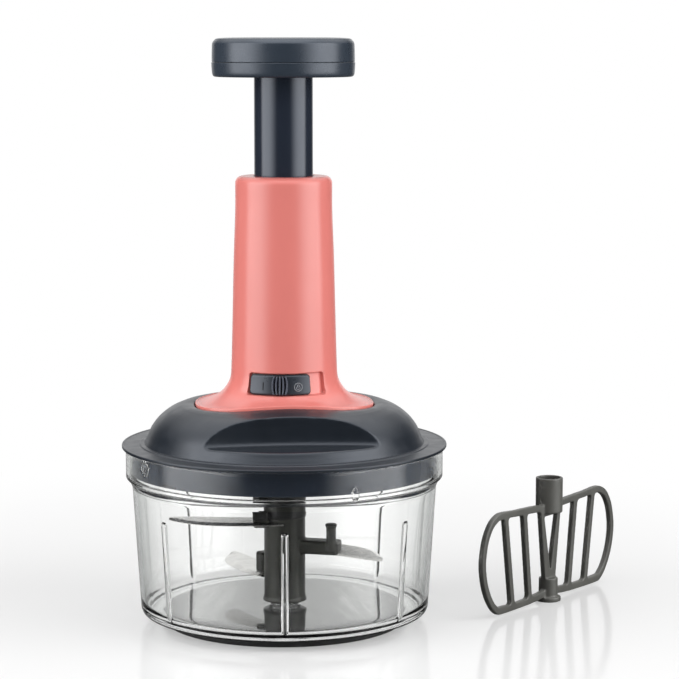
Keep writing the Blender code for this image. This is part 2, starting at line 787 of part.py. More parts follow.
def make_lid():
    """Model the domed lid with its brim, skirt, finger recesses, collar and drive chamber."""
    flare = [(radius, height) for radius, height in flare_points() if radius > well_radius]
    valley = flare[-1]
    crest = [(valley[0] + CREST_WIDTH * across, valley[1] + CREST_RISE * up)
             for across, up in CREST_SHARES[1:]]
    collar_inner = COLLAR_RADIUS - COLLAR_WALL
    chamber_outer = CHAMBER_RADIUS + CHAMBER_WALL
    seal_inner = band_inner - GAP
    seal_outer = seal_inner + SEAL_WIDTH + GAP * 2
    step_radius = dome_radius + BRIM_STEP_WIDTH
    outline = [(collar_inner, collar_top), (COLLAR_RADIUS, collar_top), (COLLAR_RADIUS, well_floor),
               (well_radius, well_floor), (well_radius, flare_height(well_radius)), *flare, *crest,
               *dome_points(0), (dome_radius, brim_top), (step_radius, brim_top),
               (step_radius + BRIM_STEP, brim_top - BRIM_STEP),
               (brim_radius - BRIM_STEP, brim_top - BRIM_STEP),
               (brim_radius, brim_top - BRIM_STEP * 1.6), (brim_radius, brim_low + BRIM_STEP / 2),
               (brim_radius - BRIM_STEP / 2, brim_low), (seal_outer, brim_low),
               (seal_outer, brim_low + SEAL_HEIGHT + GAP), (seal_inner, brim_low + SEAL_HEIGHT + GAP),
               (seal_inner, brim_low), (skirt_outer, brim_low), (skirt_outer, skirt_low + GAP),
               (skirt_outer - GAP, skirt_low), (skirt_inner, skirt_low), (skirt_inner, chamber_low),
               (CHAMBER_RADIUS, chamber_low), (CHAMBER_RADIUS, lid_floor), (NECK_HOLE_RADIUS, lid_floor),
               (NECK_HOLE_RADIUS, well_floor), (collar_inner, well_floor)]
    lid = turned_part("lid_shell", outline, SLATE, LARGE_FACETS, lid_axis)
    smooth(lid)

    inner_dome = dome_points(DOME_WALL)
    cavity_wall = valley[0] + CREST_WIDTH
    cavity = [(chamber_outer, lid_floor), (cavity_wall, lid_floor), (cavity_wall, inner_dome[0][1]),
              *inner_dome, (inner_dome[-1][0], chamber_low - OVERRUN), (chamber_outer, chamber_low - OVERRUN)]
    hollow = turned_tool("lid_hollow", cavity, LARGE_FACETS, lid_axis)
    for side, place in ((1, "front"), (-1, "back")):
        wall = add_tool(f"{place}_recess_wall", scoop_mesh(f"{place}_recess_wall", DOME_WALL, side), lid_axis)
        cut(hollow, wall)
    posts = [rod_mesh("post", POST_RADIUS, chamber_low - OVERRUN * 2, lid_floor + FLOOR_WALL / 2,
                      SMALL_FACETS // 2, *polar(COVER_SCREW_CIRCLE, azimuth))
             for azimuth in COVER_SCREW_AZIMUTHS]
    cut(hollow, add_tool("cover_posts", merged_mesh("cover_posts", posts), lid_axis))
    cut(lid, hollow)
    for side, place in ((1, "front"), (-1, "back")):
        cut(lid, add_tool(f"{place}_recess", scoop_mesh(f"{place}_recess", 0, side), lid_axis))

    kept_core = circle_outline((COLLAR_RADIUS + well_radius) / 2, MEDIUM_FACETS)
    seat = prism_mesh("foot_seat", [foot_outline(GAP), kept_core], foot_floor, crest_top + FLARE_HEIGHT)
    cut(lid, add_tool("foot_seat", seat, lid_axis))
    holes = [rod_mesh("hole", SCREW_RADIUS + GAP, lid_floor - OVERRUN, foot_floor + OVERRUN, SCREW_FACETS,
                      *polar(tower_screw_circle, azimuth)) for azimuth in TOWER_SCREW_AZIMUTHS]
    holes += [rod_mesh("hole", SCREW_RADIUS + GAP, chamber_low - OVERRUN, chamber_low + SCREW_BITE + GAP,
                       SCREW_FACETS, *polar(COVER_SCREW_CIRCLE, azimuth))
              for azimuth in COVER_SCREW_AZIMUTHS]
    cut(lid, add_tool("lid_screw_holes", merged_mesh("lid_screw_holes", holes), lid_axis))
    lugs = []
    for azimuth in RAMP_AZIMUTHS:
        start = azimuth + LUG_LEAD - LID_REST_TURN - LUG_SPAN / 2
        lugs.append(sector_mesh("lug", skirt_outer - SKIRT_WALL / 2, skirt_outer + LUG_DEPTH, start,
                                start + LUG_SPAN, lug_low, lug_high, 4))
    join(lid, add_tool("lid_lugs", merged_mesh("lid_lugs", lugs), lid_axis))

    seal = [(seal_outer - GAP, brim_low + SEAL_HEIGHT), (seal_outer - GAP, brim_low),
            (seal_inner + GAP, brim_low), (seal_inner + GAP, brim_low + SEAL_HEIGHT)]
    smooth(turned_part("lid_gasket", seal, RUBBER, LARGE_FACETS, lid_axis))


def make_cover():
    """Model the cover that closes the drive chamber and carries the coupling's neck."""
    neck_outer = neck_bore + COVER_NECK_WALL
    outline = [(cover_radius, cover_top), (cover_radius, cover_low), (neck_outer + OVERRUN, cover_low),
               (neck_outer, cover_low - OVERRUN), (neck_outer, neck_low), (neck_bore, neck_low),
               (neck_bore, cover_top)]
    cover = turned_part("drive_cover", outline, SLATE, MEDIUM_FACETS, lid_axis)
    smooth(cover)
    holes = [rod_mesh("hole", SCREW_RADIUS + GAP, cover_low - OVERRUN, cover_top + OVERRUN, SCREW_FACETS,
                      *polar(COVER_SCREW_CIRCLE, azimuth)) for azimuth in COVER_SCREW_AZIMUTHS]
    cut(cover, add_tool("cover_screw_holes", merged_mesh("cover_screw_holes", holes), lid_axis))


def make_screw(name, x, y, seat, parent, length, upward=True):
    """Model one pan-head screw whose head bears on a seat."""
    way = 1 if upward else -1
    outline = [(0, length), (SCREW_RADIUS / 2, length), (SCREW_RADIUS, length - SCREW_RADIUS),
               (SCREW_RADIUS, 0), (SCREW_HEAD_RADIUS, 0), (SCREW_HEAD_RADIUS, -SCREW_HEAD * 0.6),
               (SCREW_HEAD_RADIUS * 0.7, -SCREW_HEAD), (0, -SCREW_HEAD)]
    if not upward:
        outline = [(radius, -height) for radius, height in reversed(outline)]
    screw = turned_part(name, outline, STEEL, SCREW_FACETS, parent, closed=False)
    smooth(screw)
    screw.location = (x, y, seat - GAP * way)


def make_screws():
    """Place the screws of the tower and of the drive cover."""
    for number, azimuth in enumerate(TOWER_SCREW_AZIMUTHS, 1):
        make_screw(f"tower_screw_{number}", *polar(tower_screw_circle, azimuth), lid_floor, lid_axis,
                   foot_floor - lid_floor + FOOT_EDGE)
    for number, azimuth in enumerate(COVER_SCREW_AZIMUTHS, 1):
        make_screw(f"cover_screw_{number}", *polar(COVER_SCREW_CIRCLE, azimuth), cover_low, lid_axis,
                   COVER_THICKNESS + SCREW_BITE)


def tower_points():
    """Give the tower's outline from its roof's edge down to its waist."""
    height = tower_top - TOWER_CORNER - flare_top
    spread = TOWER_WAIST_RADIUS - TOWER_TOP_RADIUS
    return [(TOWER_TOP_RADIUS + spread * across, flare_top + height * up) for across, up in TOWER_SHARES]


def make_tower():
    """Model the tower with its flared foot, lock slot and inner keys."""
    bore = TUBE_RADIUS + GAP
    edge_radius = foot_half_width + OVERRUN
    outline = [(0, tower_top), (TOWER_TOP_RADIUS - TOWER_CORNER, tower_top),
               (TOWER_TOP_RADIUS - TOWER_CORNER * 0.5, tower_top - TOWER_CORNER * 0.13),
               (TOWER_TOP_RADIUS - TOWER_CORNER * 0.13, tower_top - TOWER_CORNER * 0.5), *tower_points(),
               *flare_points(), (edge_radius, flare_low - GAP), (edge_radius, tower_low), (0, tower_low)]
    tower = turned_part("tower_housing", outline, CORAL, LARGE_FACETS, lid_axis, closed=False)
    smooth(tower)
    combine(tower, add_tool("foot_outline", prism_mesh("foot_outline", [foot_outline(0)], tower_low - OVERRUN,
                                                       tower_top + OVERRUN), lid_axis), "INTERSECT")

    ledge_radius = tower_bore - LOCK_LEDGE / 2
    cavity = [(0, tower_top + OVERRUN), (bore, tower_top + OVERRUN), (bore, tower_top - TOWER_ROOF),
              (tower_bore, tower_top - TOWER_ROOF), (tower_bore, ledge_low + LOCK_LEDGE),
              (ledge_radius, ledge_low + LOCK_LEDGE), (ledge_radius, ledge_low), (lock_bore, ledge_low),
              (lock_bore, tower_low - OVERRUN), (0, tower_low - OVERRUN)]
    hollow = turned_tool("tower_hollow", cavity, MEDIUM_FACETS, lid_axis, closed=False)
    keys = []
    for side in (1, -1):
        inner = (tower_bore - KEY_DEPTH) * side
        outer = (tower_bore + OVERRUN) * side
        keys.append(block_mesh("key", (-KEY_WIDTH / 2, min(inner, outer), ledge_low + LOCK_LEDGE / 2),
                               (KEY_WIDTH / 2, max(inner, outer), collar_tube_top - GAP)))
    cut(hollow, add_tool("tower_keys", merged_mesh("tower_keys", keys), lid_axis))
    cut(tower, hollow)

    slot_start = LOCK_SLOT_CENTRE - LOCK_SLOT_HALF_ANGLE
    slot_end = LOCK_SLOT_CENTRE + LOCK_SLOT_HALF_ANGLE
    pocket = sector_mesh("lock_pocket", slot_floor_radius, foot_half_width, slot_start, slot_end,
                         slot_low, slot_high)
    cut(tower, add_tool("lock_pocket", pocket, lid_axis))
    play = LOCK_PLAY / 2
    stem_start = LOCK_STEM_CENTRE - LOCK_STEM_ANGLE / 2 - play
    stem_end = LOCK_STEM_CENTRE + LOCK_STEM_ANGLE / 2 + LOCK_TURN + play
    middle = (lock_ring_low + lock_ring_top) / 2
    half = LOCK_STEM_HEIGHT / 2 + GAP
    window = sector_mesh("stem_window", lock_bore - OVERRUN, slot_floor_radius + OVERRUN / 2, stem_start,
                         stem_end, middle - half, middle + half, 6)
    cut(tower, add_tool("stem_window", window, lid_axis))
    holes = [rod_mesh("hole", SCREW_RADIUS + GAP, tower_low - OVERRUN, tower_low + FOOT_EDGE + GAP,
                      SCREW_FACETS, *polar(tower_screw_circle, azimuth)) for azimuth in TOWER_SCREW_AZIMUTHS]
    cut(tower, add_tool("tower_screw_holes", merged_mesh("tower_screw_holes", holes), lid_axis))


def make_guides():
    """Model the bush that guides the tube and the guide that the return spring stands on."""
    roof = tower_top - TOWER_ROOF - GAP
    inner = TUBE_RADIUS + GAP
    outer = inner + GUIDE_WALL
    flange = tower_bore - GAP
    low = collar_tube_top + GAP
    bush = [(flange, roof), (flange, roof - GUIDE_FLANGE), (outer, roof - GUIDE_FLANGE), (outer, low),
            (inner, low), (inner, roof)]
    smooth(turned_part("plunger_guide", bush, NYLON, MEDIUM_FACETS, lid_axis))

    seat = well_floor + GAP
    shoulder = COLLAR_RADIUS - COLLAR_WALL - GAP
    guide = [(sleeve_radius, seat + SLEEVE_HEIGHT), (sleeve_radius, seat + SLEEVE_FLANGE),
             (shoulder, seat + SLEEVE_FLANGE), (shoulder, seat), (NECK_HOLE_RADIUS - GAP, seat),
             (NECK_HOLE_RADIUS - GAP, lid_floor), (SLEEVE_BORE, lid_floor),
             (SLEEVE_BORE, seat + SLEEVE_HEIGHT)]
    smooth(turned_part("spring_guide", guide, NYLON, SMALL_FACETS, lid_axis))


def coil_points(radius, turns, low, high, pitch_share):
    """Give a coil's points: closed end turns and an even pitch between them."""
    count = turns * CURL_POINTS
    closed = CURL_POINTS
    points = []
    rises = [pitch_share if step < closed or step >= count - closed else 1 for step in range(count)]
    total = sum(rises)
    height = low
    for step in range(count + 1):
        angle = math.tau * step / CURL_POINTS
        points.append((radius * math.cos(angle), radius * math.sin(angle), height))
        if step < count:
            height += (high - low) * rises[step] / total
    return points


def least_gap(points, wire):
    """Measure the least gap between a coil's turns, on its points."""
    least = math.inf
    for index, point in enumerate(points):
        for other in points[index + CURL_POINTS - 2:]:
            least = min(least, math.dist(point, other))
    return least - 2 * wire


def make_coil(name, radius, wire, turns, low, high, pitch_share):
    """Model a wound spring as one unbroken wire."""
    points = coil_points(radius, turns, low + wire, high - wire, pitch_share)
    print(f"{name}: least gap between turns {least_gap(points, wire) * 1000:.2f} mm")
    curve = bpy.data.curves.new(name, "CURVE")
    curve.dimensions = "3D"
    curve.bevel_depth = wire
    curve.bevel_resolution = 1
    curve.use_fill_caps = True
    spline = curve.splines.new("POLY")
    spline.points.add(len(points) - 1)
    for spot, point in zip(spline.points, points):
        spot.co = (*point, 1)
    add_part(name, curve, STEEL, lid_axis)


def make_springs():
    """Model the return spring and the clutch spring."""
    holder_seat = holder_low - GAP
    guide_seat = well_floor + SLEEVE_FLANGE + GAP * 2
    make_coil("return_spring", spring_radius, SPRING_WIRE, SPRING_TURNS, guide_seat, holder_seat, 0.3)
    make_coil("clutch_spring", CLUTCH_SPRING_RADIUS, CLUTCH_SPRING_WIRE, CLUTCH_SPRING_TURNS, nut_high + GAP,
              lid_floor - GAP, 1.0)


def make_tube():
    """Model the plunger tube with its stop collar and two locking legs."""
    outline = [(TUBE_RADIUS, tube_top), (TUBE_RADIUS, collar_tube_top), (COLLAR_TUBE_RADIUS, collar_tube_top),
               (COLLAR_TUBE_RADIUS, tube_bottom), (TUBE_RADIUS, tube_bottom), (TUBE_RADIUS, leg_bottom),
               (tube_bore, leg_bottom), (tube_bore, tube_top)]
    tube = turned_part("plunger_tube", outline, SLATE, MEDIUM_FACETS, plunger_axis)
    smooth(tube)
    half_leg = TUBE_LEG_ANGLE / 2
    spaces = []
    for centre in (0, 180):
        spaces.append(sector_mesh("space", tube_bore - OVERRUN, TUBE_RADIUS + OVERRUN, centre - 90 + half_leg,
                                  centre + 90 - half_leg, leg_bottom - OVERRUN, tube_bottom))
    cut(tube, add_tool("leg_spaces", merged_mesh("leg_spaces", spaces), plunger_axis))
    middle = (lock_ring_low + lock_ring_top) / 2 + STROKE
    half = LOCK_LUG_HEIGHT / 2 + GAP * 2
    notches = []
    for centre in (90, 270):
        edge = centre - half_leg
        notches.append(sector_mesh("notch", tube_bore - OVERRUN, TUBE_RADIUS + OVERRUN, edge - LOCK_PLAY,
                                   edge + TUBE_LEG_NOTCH, middle - half, middle + half, 4))
    cut(tube, add_tool("lock_notches", merged_mesh("lock_notches", notches), plunger_axis))
    grooves = []
    for side in (1, -1):
        inner = (tower_bore - KEY_DEPTH - GAP) * side
        outer = (COLLAR_TUBE_RADIUS + OVERRUN) * side
        grooves.append(block_mesh("groove", (-KEY_WIDTH / 2 - GAP, min(inner, outer), tube_bottom - OVERRUN),
                                  (KEY_WIDTH / 2 + GAP, max(inner, outer), collar_tube_top + OVERRUN)))
    cut(tube, add_tool("key_grooves", merged_mesh("key_grooves", grooves), plunger_axis))


def make_knob():
    """Model the press knob's two halves and the screw inside it."""
    bore = TUBE_RADIUS + GAP
    boss = bore + KNOB_WALL
    seam = knob_seam - GAP / 2
    rim = [(KNOB_RADIUS * across, knob_low + (seam - knob_low) * up) for across, up in KNOB_BASE_SHARES]
    wall = KNOB_RADIUS - KNOB_WALL - GAP
    floor = knob_low + KNOB_WALL
    outline = [*rim, (bore, knob_low), (bore, web_low), (SCREW_RADIUS + GAP, web_low),
               (SCREW_RADIUS + GAP, web_top), (boss, web_top), (boss, floor), (wall, floor), (wall, seam)]
    smooth(turned_part("knob_base", outline, SLATE, LARGE_FACETS, plunger_axis))

    low = knob_seam + GAP / 2
    crown = [(KNOB_RADIUS * across, low + (knob_top - low) * up) for across, up in KNOB_CAP_SHARES]
    lip_outer = wall - GAP
    lip_inner = lip_outer - KNOB_LIP_WALL
    roof = knob_top - KNOB_WALL
    outline = [(0, knob_top), *crown, (lip_outer, low), (lip_outer, low - KNOB_LIP),
               (lip_inner, low - KNOB_LIP), (lip_inner, roof - KNOB_WALL / 2),
               (lip_inner - KNOB_WALL / 2, roof), (0, roof)]
    smooth(turned_part("knob_cap", outline, SLATE, LARGE_FACETS, plunger_axis, closed=False))
    make_screw("knob_screw", 0, 0, web_top, plunger_axis, web_top - holder_top + SCREW_BITE / 2, upward=False)


def twist_step(height):
    """Give the number of twist steps that lie below a height."""
    return math.floor(height / bar_pitch)


def bar_angle(step):
    """Give how far the twisted bar has turned after so many steps."""
    return math.tau * step / BAR_STEPS_PER_TURN


def twisted_mesh(name, margin, first, last, straight=0):
    """Sweep the bar's flat section up while it turns, then straight on; a margin makes it a socket."""
    width = BAR_WIDTH / 2 + margin
    thickness = BAR_THICKNESS / 2 + margin
    corners = ((width, thickness), (0, thickness), (-width, thickness), (-width, -thickness), (0, -thickness),
               (width, -thickness))
    shape = bmesh.new()
    section = shape.faces.new([shape.verts.new((x, y, first * bar_pitch)) for x, y in corners])
    bmesh.ops.rotate(shape, verts=shape.verts, cent=(0, 0, 0),
                     matrix=Matrix.Rotation(bar_angle(first), 3, "Z"))
    ends = [section]
    if last > first:
        swept = bmesh.ops.spin(shape, geom=[section, *section.edges, *section.verts], cent=(0, 0, 0),
                               axis=(0, 0, 1), dvec=(0, 0, bar_pitch), angle=bar_angle(last - first),
                               steps=last - first)
        ends = [item for item in swept["geom_last"] if isinstance(item, bmesh.types.BMFace)]
    if straight:
        raised = bmesh.ops.extrude_face_region(shape, geom=ends, use_keep_orig=True)
        points = [item for item in raised["geom"] if isinstance(item, bmesh.types.BMVert)]
        bmesh.ops.translate(shape, verts=points, vec=(0, 0, straight))
        if last > first:
            bmesh.ops.delete(shape, geom=ends, context="FACES_ONLY")
    bmesh.ops.recalc_face_normals(shape, faces=shape.faces)
    bmesh.ops.triangulate(shape, faces=shape.faces, quad_method="SHORT_EDGE")
    mesh = bpy.data.meshes.new(name)
    shape.to_mesh(mesh)
    shape.free()
    return mesh


def make_bar():
    """Model the twisted drive bar and the holder that fixes it in the tube's top."""
    grip_step = twist_step(holder_low) - 1
    straight = holder_low + BAR_GRIP - grip_step * bar_pitch
    add_part("twisted_drive_rod", twisted_mesh("twisted_drive_rod", 0, bar_first, grip_step, straight), STEEL,
             plunger_axis)

    body = tube_bore - GAP
    flange = TUBE_RADIUS - GAP
    outline = [(0, holder_top), (flange, holder_top), (flange, tube_top + GAP), (body, tube_top + GAP),
               (body, holder_low), (0, holder_low)]
    holder = turned_part("rod_holder", outline, NYLON, SMALL_FACETS, plunger_axis, closed=False)
    smooth(holder)
    cut(holder, add_tool("rod_socket", twisted_mesh("rod_socket", GAP, grip_step, grip_step, straight + GAP),
                         plunger_axis))
    bore = rod_mesh("holder_screw_hole", SCREW_RADIUS + GAP, holder_top - SCREW_BITE / 2 - GAP,
                    holder_top + OVERRUN, SCREW_FACETS)
    cut(holder, add_tool("holder_screw_hole", bore, plunger_axis))


def tooth_rise(step):
    """Give the height of the saw-toothed face at a step round the ring."""
    return NUT_TOOTH * (step % NUT_TOOTH_STEPS) / (NUT_TOOTH_STEPS - 1)


def toothed_ring(name, inner, outer, flat, face):
    """Make a ring with a saw-toothed face that meets its partner's."""
    steps = NUT_TEETH * NUT_TOOTH_STEPS
    shape = bmesh.new()
    rings = []
    for step in range(steps):
        height = face + tooth_rise(step)
        corners = ((inner, flat), (outer, flat), (outer, height), (inner, height))
        rings.append([shape.verts.new((*polar(radius, 360 * step / steps), level))
                      for radius, level in corners])
    for near, after in zip(rings, rings[1:] + rings[:1]):
        for index in range(4):
            other = (index + 1) % 4
            shape.faces.new((near[index], near[other], after[other], after[index]))
    bmesh.ops.triangulate(shape, faces=shape.faces)
    bmesh.ops.recalc_face_normals(shape, faces=shape.faces)
    mesh = bpy.data.meshes.new(name)
    shape.to_mesh(mesh)
    shape.free()
    return mesh


def make_drive():
    """Model the drive nut and the output coupling with its clutch teeth and dog."""
    ring_inner = BAR_WIDTH / 2 + GAP * 5
    ring = toothed_ring("drive_nut", ring_inner, nut_radius, nut_high, nut_low)
    nut = add_part("drive_nut", ring, NYLON, drive_axis)
    core_radius = (ring_inner + nut_radius) / 2
    core = rod_mesh("nut_core", core_radius, nut_body_low + GAP, nut_high - GAP, SMALL_FACETS)
    join(nut, add_tool("nut_core", core, drive_axis))
    thread = twisted_mesh("nut_thread", RUN_GAP, twist_step(nut_low) - 1, twist_step(nut_high) + 2)
    cut(nut, add_tool("nut_thread", thread, drive_axis))
    smooth(nut, 30)

    bore = HUB_BORE - GAP
    shank_bore = bore - GAP / 2
    coupling = add_part("output_coupling", toothed_ring("output_coupling", bore, nut_radius, coupling_low,
                                                        coupling_top), GREY, drive_axis)
    neck_high = coupling_low + COUPLING_DISC / 2
    shank = [(COUPLING_RADIUS, neck_high), (COUPLING_RADIUS, neck_low),
             (COUPLING_SPIGOT_RADIUS, neck_low - GAP * 2), (COUPLING_SPIGOT_RADIUS, spigot_low),
             (shank_bore, spigot_low), (shank_bore, neck_high)]
    join(coupling, turned_tool("coupling_shank", shank, SMALL_FACETS, drive_axis))
    slots = []
    for centre in (0, 180):
        slots.append(sector_mesh("dog_slot", bore - OVERRUN, COUPLING_SPIGOT_RADIUS + OVERRUN,
                                 centre - DOG_SLOT_ANGLE / 2, centre + DOG_SLOT_ANGLE / 2,
                                 spigot_low - OVERRUN, spigot_low + DOG_LENGTH + GAP * 2, 6))
    cut(coupling, add_tool("dog_slots", merged_mesh("dog_slots", slots), drive_axis))
    smooth(coupling, 30)


def make_lock():
    """Model the travel lock: inner ring, stem, curved thumb plate with its grip, and two lugs."""
    inner = COLLAR_RADIUS - COLLAR_WALL + GAP * 2
    outer = inner + LOCK_RING_WALL - GAP * 2
    ring = [(outer, lock_ring_top), (outer, lock_ring_low), (inner, lock_ring_low), (inner, lock_ring_top)]
    lock = turned_part("lock_slider", ring, SLATE, MEDIUM_FACETS, lock_axis)
    smooth(lock)
    middle = (lock_ring_low + lock_ring_top) / 2
    half = LOCK_STEM_HEIGHT / 2
    plate_inner = slot_floor_radius + GAP
    plate_outer = plate_inner + LOCK_PLATE_THICKNESS
    stem = sector_mesh("lock_stem", outer - LOCK_RING_WALL / 4, plate_inner + LOCK_PLATE_THICKNESS / 2,
                       LOCK_STEM_CENTRE - LOCK_STEM_ANGLE / 2, LOCK_STEM_CENTRE + LOCK_STEM_ANGLE / 2,
                       middle - half, middle + half, 4)
    join(lock, add_tool("lock_stem", stem, lock_axis))
    start = LOCK_SLOT_CENTRE - LOCK_SLOT_HALF_ANGLE + LOCK_PLATE_LEAD
    end = start + LOCK_PLATE_ANGLE
    plate_low = slot_low + GAP
    plate_high = slot_high - GAP
    plate = sector_mesh("lock_plate", plate_inner, plate_outer, start, end, plate_low, plate_high)
    join(lock, add_tool("lock_plate", plate, lock_axis))
    centre = (start + end) / 2
    ridges = []
    for number in range(LOCK_GRIP_RIDGES):
        ridge = centre + (number - (LOCK_GRIP_RIDGES - 1) / 2) * LOCK_GRIP_PITCH
        ridges.append(sector_mesh("ridge", plate_outer - GAP, plate_outer + LOCK_GRIP_DEPTH,
                                  ridge - LOCK_GRIP_SPAN / 2, ridge + LOCK_GRIP_SPAN / 2, plate_low + GAP,
                                  plate_high - GAP, 2))
    join(lock, add_tool("lock_ridges", merged_mesh("lock_ridges", ridges), lock_axis))
    lugs = []
    for leg in (90, 270):
        end = leg - TUBE_LEG_ANGLE / 2 - LOCK_PLAY
        lugs.append(sector_mesh("lock_lug", LOCK_LUG_REACH, inner + LOCK_RING_WALL / 4,
                                end - LOCK_LUG_ANGLE, end, middle - LOCK_LUG_HEIGHT / 2,
                                middle + LOCK_LUG_HEIGHT / 2, 3))
    join(lock, add_tool("lock_lugs", merged_mesh("lock_lugs", lugs), lock_axis))


def blade_outline(root, reach, width):
    """Give a blade's curved outline: leading edge out to the tip, trailing edge back."""
    length = reach - root
    edge = [(root + length * along, width * across) for along, across in BLADE_LEAD_SHARES]
    return edge + [(root + length * along, width * across) for along, across in BLADE_TAIL_SHARES]


def blade_mesh(name, root, reach, width, height, azimuth, margin=0):
    """Make a blade, or with a margin the slot that its root sits in."""
    half = BLADE_THICKNESS / 2 + margin
    if margin:
        tail = BLADE_TAIL_SHARES[-1][1] * width - margin
        lead = BLADE_LEAD_SHARES[1][1] * width + margin
        outline = [(root - margin, lead), (reach, lead), (reach, tail), (root - margin, tail)]
        outline.reverse()
    else:
        outline = blade_outline(root, reach, width)
        outline.reverse()
    mesh = prism_mesh(name, [outline], -half, half)
    mesh.transform(turned_matrix(azimuth) @ Matrix.Translation((0, 0, height))
                   @ Matrix.Rotation(math.radians(-BLADE_TILT), 4, "X"))
    return mesh


def radial_block(name, start, end, tail, lead, low, high, azimuth):
    """Make a block that sticks out of the hub along an azimuth."""
    block = block_mesh(name, (start, tail, low), (end, lead, high))
    block.transform(turned_matrix(azimuth))
    return block


def make_blades():
    """Model the blade hub with its holders, and the three blades."""
    upper = bowl_floor + UPPER_BLADE_HEIGHT
    middle = bowl_floor + MIDDLE_BLADE_HEIGHT
    lower = bowl_floor + LOWER_BLADE_HEIGHT
    cup = PIN_BOSS_RADIUS + PIN_BOSS_DRAFT + GAP * 3
    skirt = HUB_RADIUS + HUB_SKIRT
    outline = [(HUB_RADIUS, hub_top), (HUB_RADIUS, hub_low + OVERRUN), (skirt, hub_low + OVERRUN / 2),
               (skirt, hub_low), (cup, hub_low), (cup, boss_top + GAP), (pin_bore, boss_top + GAP * 2),
               (pin_bore, pin_top + GAP), (HUB_BORE, pin_top + GAP * 3), (HUB_BORE, socket_low),
               (socket_radius, socket_low), (socket_radius, hub_top)]
    hub = turned_part("blade_hub", outline, GREY, SMALL_FACETS, blade_axis)
    smooth(hub)
    buried = socket_radius + GAP
    tail = BLADE_TAIL_SHARES[-1][1] * BLADE_WIDTH - HOLDER_LIP
    upper_foot = upper - HOLDER_LIP * 2
    middle_foot = middle - HOLDER_LIP * 1.5
    lower_foot = lower - HOLDER_LIP * 2
    blocks = [radial_block("upper_holder", buried, UPPER_HOLDER, tail, HUB_RADIUS, upper_foot,
                           upper_foot + UPPER_HOLDER_HEIGHT, UPPER_AZIMUTH),
              radial_block("middle_arm", buried, MIDDLE_ARM, -MIDDLE_ARM_WIDTH / 2, MIDDLE_ARM_WIDTH / 2,
                           middle_foot, middle_foot + MIDDLE_ARM_HEIGHT, MIDDLE_AZIMUTH),
              radial_block("lower_holder", buried, UPPER_HOLDER, tail, HUB_RADIUS * 0.8, lower_foot,
                           lower_foot + LOWER_HOLDER_HEIGHT, LOWER_AZIMUTH)]
    for block in blocks:
        join(hub, add_tool(block.name, block, blade_axis))
    peg = rod_mesh("post_peg", POST_PEG_RADIUS, middle, middle + POST_PEG_HEIGHT, SMALL_FACETS // 2,
                   POST_OFFSET, 0)
    peg.transform(turned_matrix(MIDDLE_AZIMUTH - 9))
    join(hub, add_tool("post_peg", peg, blade_axis))
    ribs = []
    for centre in (LID_REST_TURN, 180 + LID_REST_TURN):
        ribs.append(sector_mesh("dog_rib", COUPLING_SPIGOT_RADIUS - SOCKET_WALL / 2,
                                socket_radius + SOCKET_WALL / 2, centre - DOG_RIB_ANGLE / 2,
                                centre + DOG_RIB_ANGLE / 2, socket_low - OVERRUN / 2,
                                spigot_low + DOG_LENGTH, 3))
    join(hub, add_tool("dog_ribs", merged_mesh("dog_ribs", ribs), blade_axis))

    upper_root = HUB_BORE + BLADE_TANG
    middle_root = MIDDLE_ARM - HOLDER_WIDTH / 2
    shapes = {
        "blade_upper": (upper_root, blade_reach, BLADE_WIDTH, upper, UPPER_AZIMUTH),
        "blade_middle": (middle_root, middle_reach, BLADE_WIDTH * MIDDLE_SHARE, middle, MIDDLE_AZIMUTH),
        "blade_lower": (upper_root, blade_reach, BLADE_WIDTH, lower, LOWER_AZIMUTH),
    }
    for name, (root, reach, width, height, azimuth) in shapes.items():
        slot = blade_mesh(f"{name}_slot", root, reach, width, height, azimuth, BLADE_SLOT)
        cut(hub, add_tool(f"{name}_slot", slot, blade_axis))
        add_part(name, blade_mesh(name, root, reach, width, height, azimuth), STEEL, blade_axis)


def paddle_point(across, up, side=1):
    """Give a point of the paddle's frame from its shares."""
    return PADDLE_HALF_SPAN * across * side, PADDLE_FRAME_BASE + PADDLE_FRAME_HEIGHT * up


def edge_height(x, upper):
    """Give the height of the frame's outline above a place, on its upper or lower side."""
    crown = max(range(len(PADDLE_OUTLINE_SHARES)), key=lambda index: PADDLE_OUTLINE_SHARES[index][0])
    run = PADDLE_OUTLINE_SHARES[:crown + 1] if upper else PADDLE_OUTLINE_SHARES[crown:]
    points = sorted(paddle_point(across, up) for across, up in run)
    for (near, low), (far, high) in zip(points, points[1:]):
        if near <= x <= far:
            return low + (high - low) * (x - near) / (far - near)
    return points[0][1]


def window_outline(inner, outer, side):
    """Give one window of the frame between two bars, each an upper and a lower place."""
    half = PADDLE_BAR / 2
    near_top = inner[0] + half
    near_low = inner[1] + half
    far_top = outer[0] - half
    far_low = outer[1] - half
    corners = [(near_top, edge_height(near_top, True) - PADDLE_BAR),
               (far_top, edge_height(far_top, True) - PADDLE_BAR),
               (far_low, edge_height(far_low, False) + PADDLE_BAR),
               (near_low, edge_height(near_low, False) + PADDLE_BAR)]
    return [(x * side, z) for x, z in corners]


def outer_window(inner, side):
    """Give the outermost window, which follows the frame's rounded end."""
    half = PADDLE_BAR / 2
    near_top = inner[0] + half
    near_low = inner[1] + half
    centre = (PADDLE_HALF_SPAN * 0.6, PADDLE_FRAME_BASE + PADDLE_FRAME_HEIGHT / 2)
    points = [(near_top, edge_height(near_top, True) - PADDLE_BAR)]
    for across, up in PADDLE_OUTLINE_SHARES:
        x, z = paddle_point(across, up)
        reach = math.dist((x, z), centre)
        share = 1 - PADDLE_BAR / reach
        x = centre[0] + (x - centre[0]) * share
        z = centre[1] + (z - centre[1]) * share
        if x > max(near_top, near_low) + half and across > 0.7:
            points.append((x, z))
    points.append((near_low, edge_height(near_low, False) + PADDLE_BAR))
    return [(x * side, z) for x, z in points]


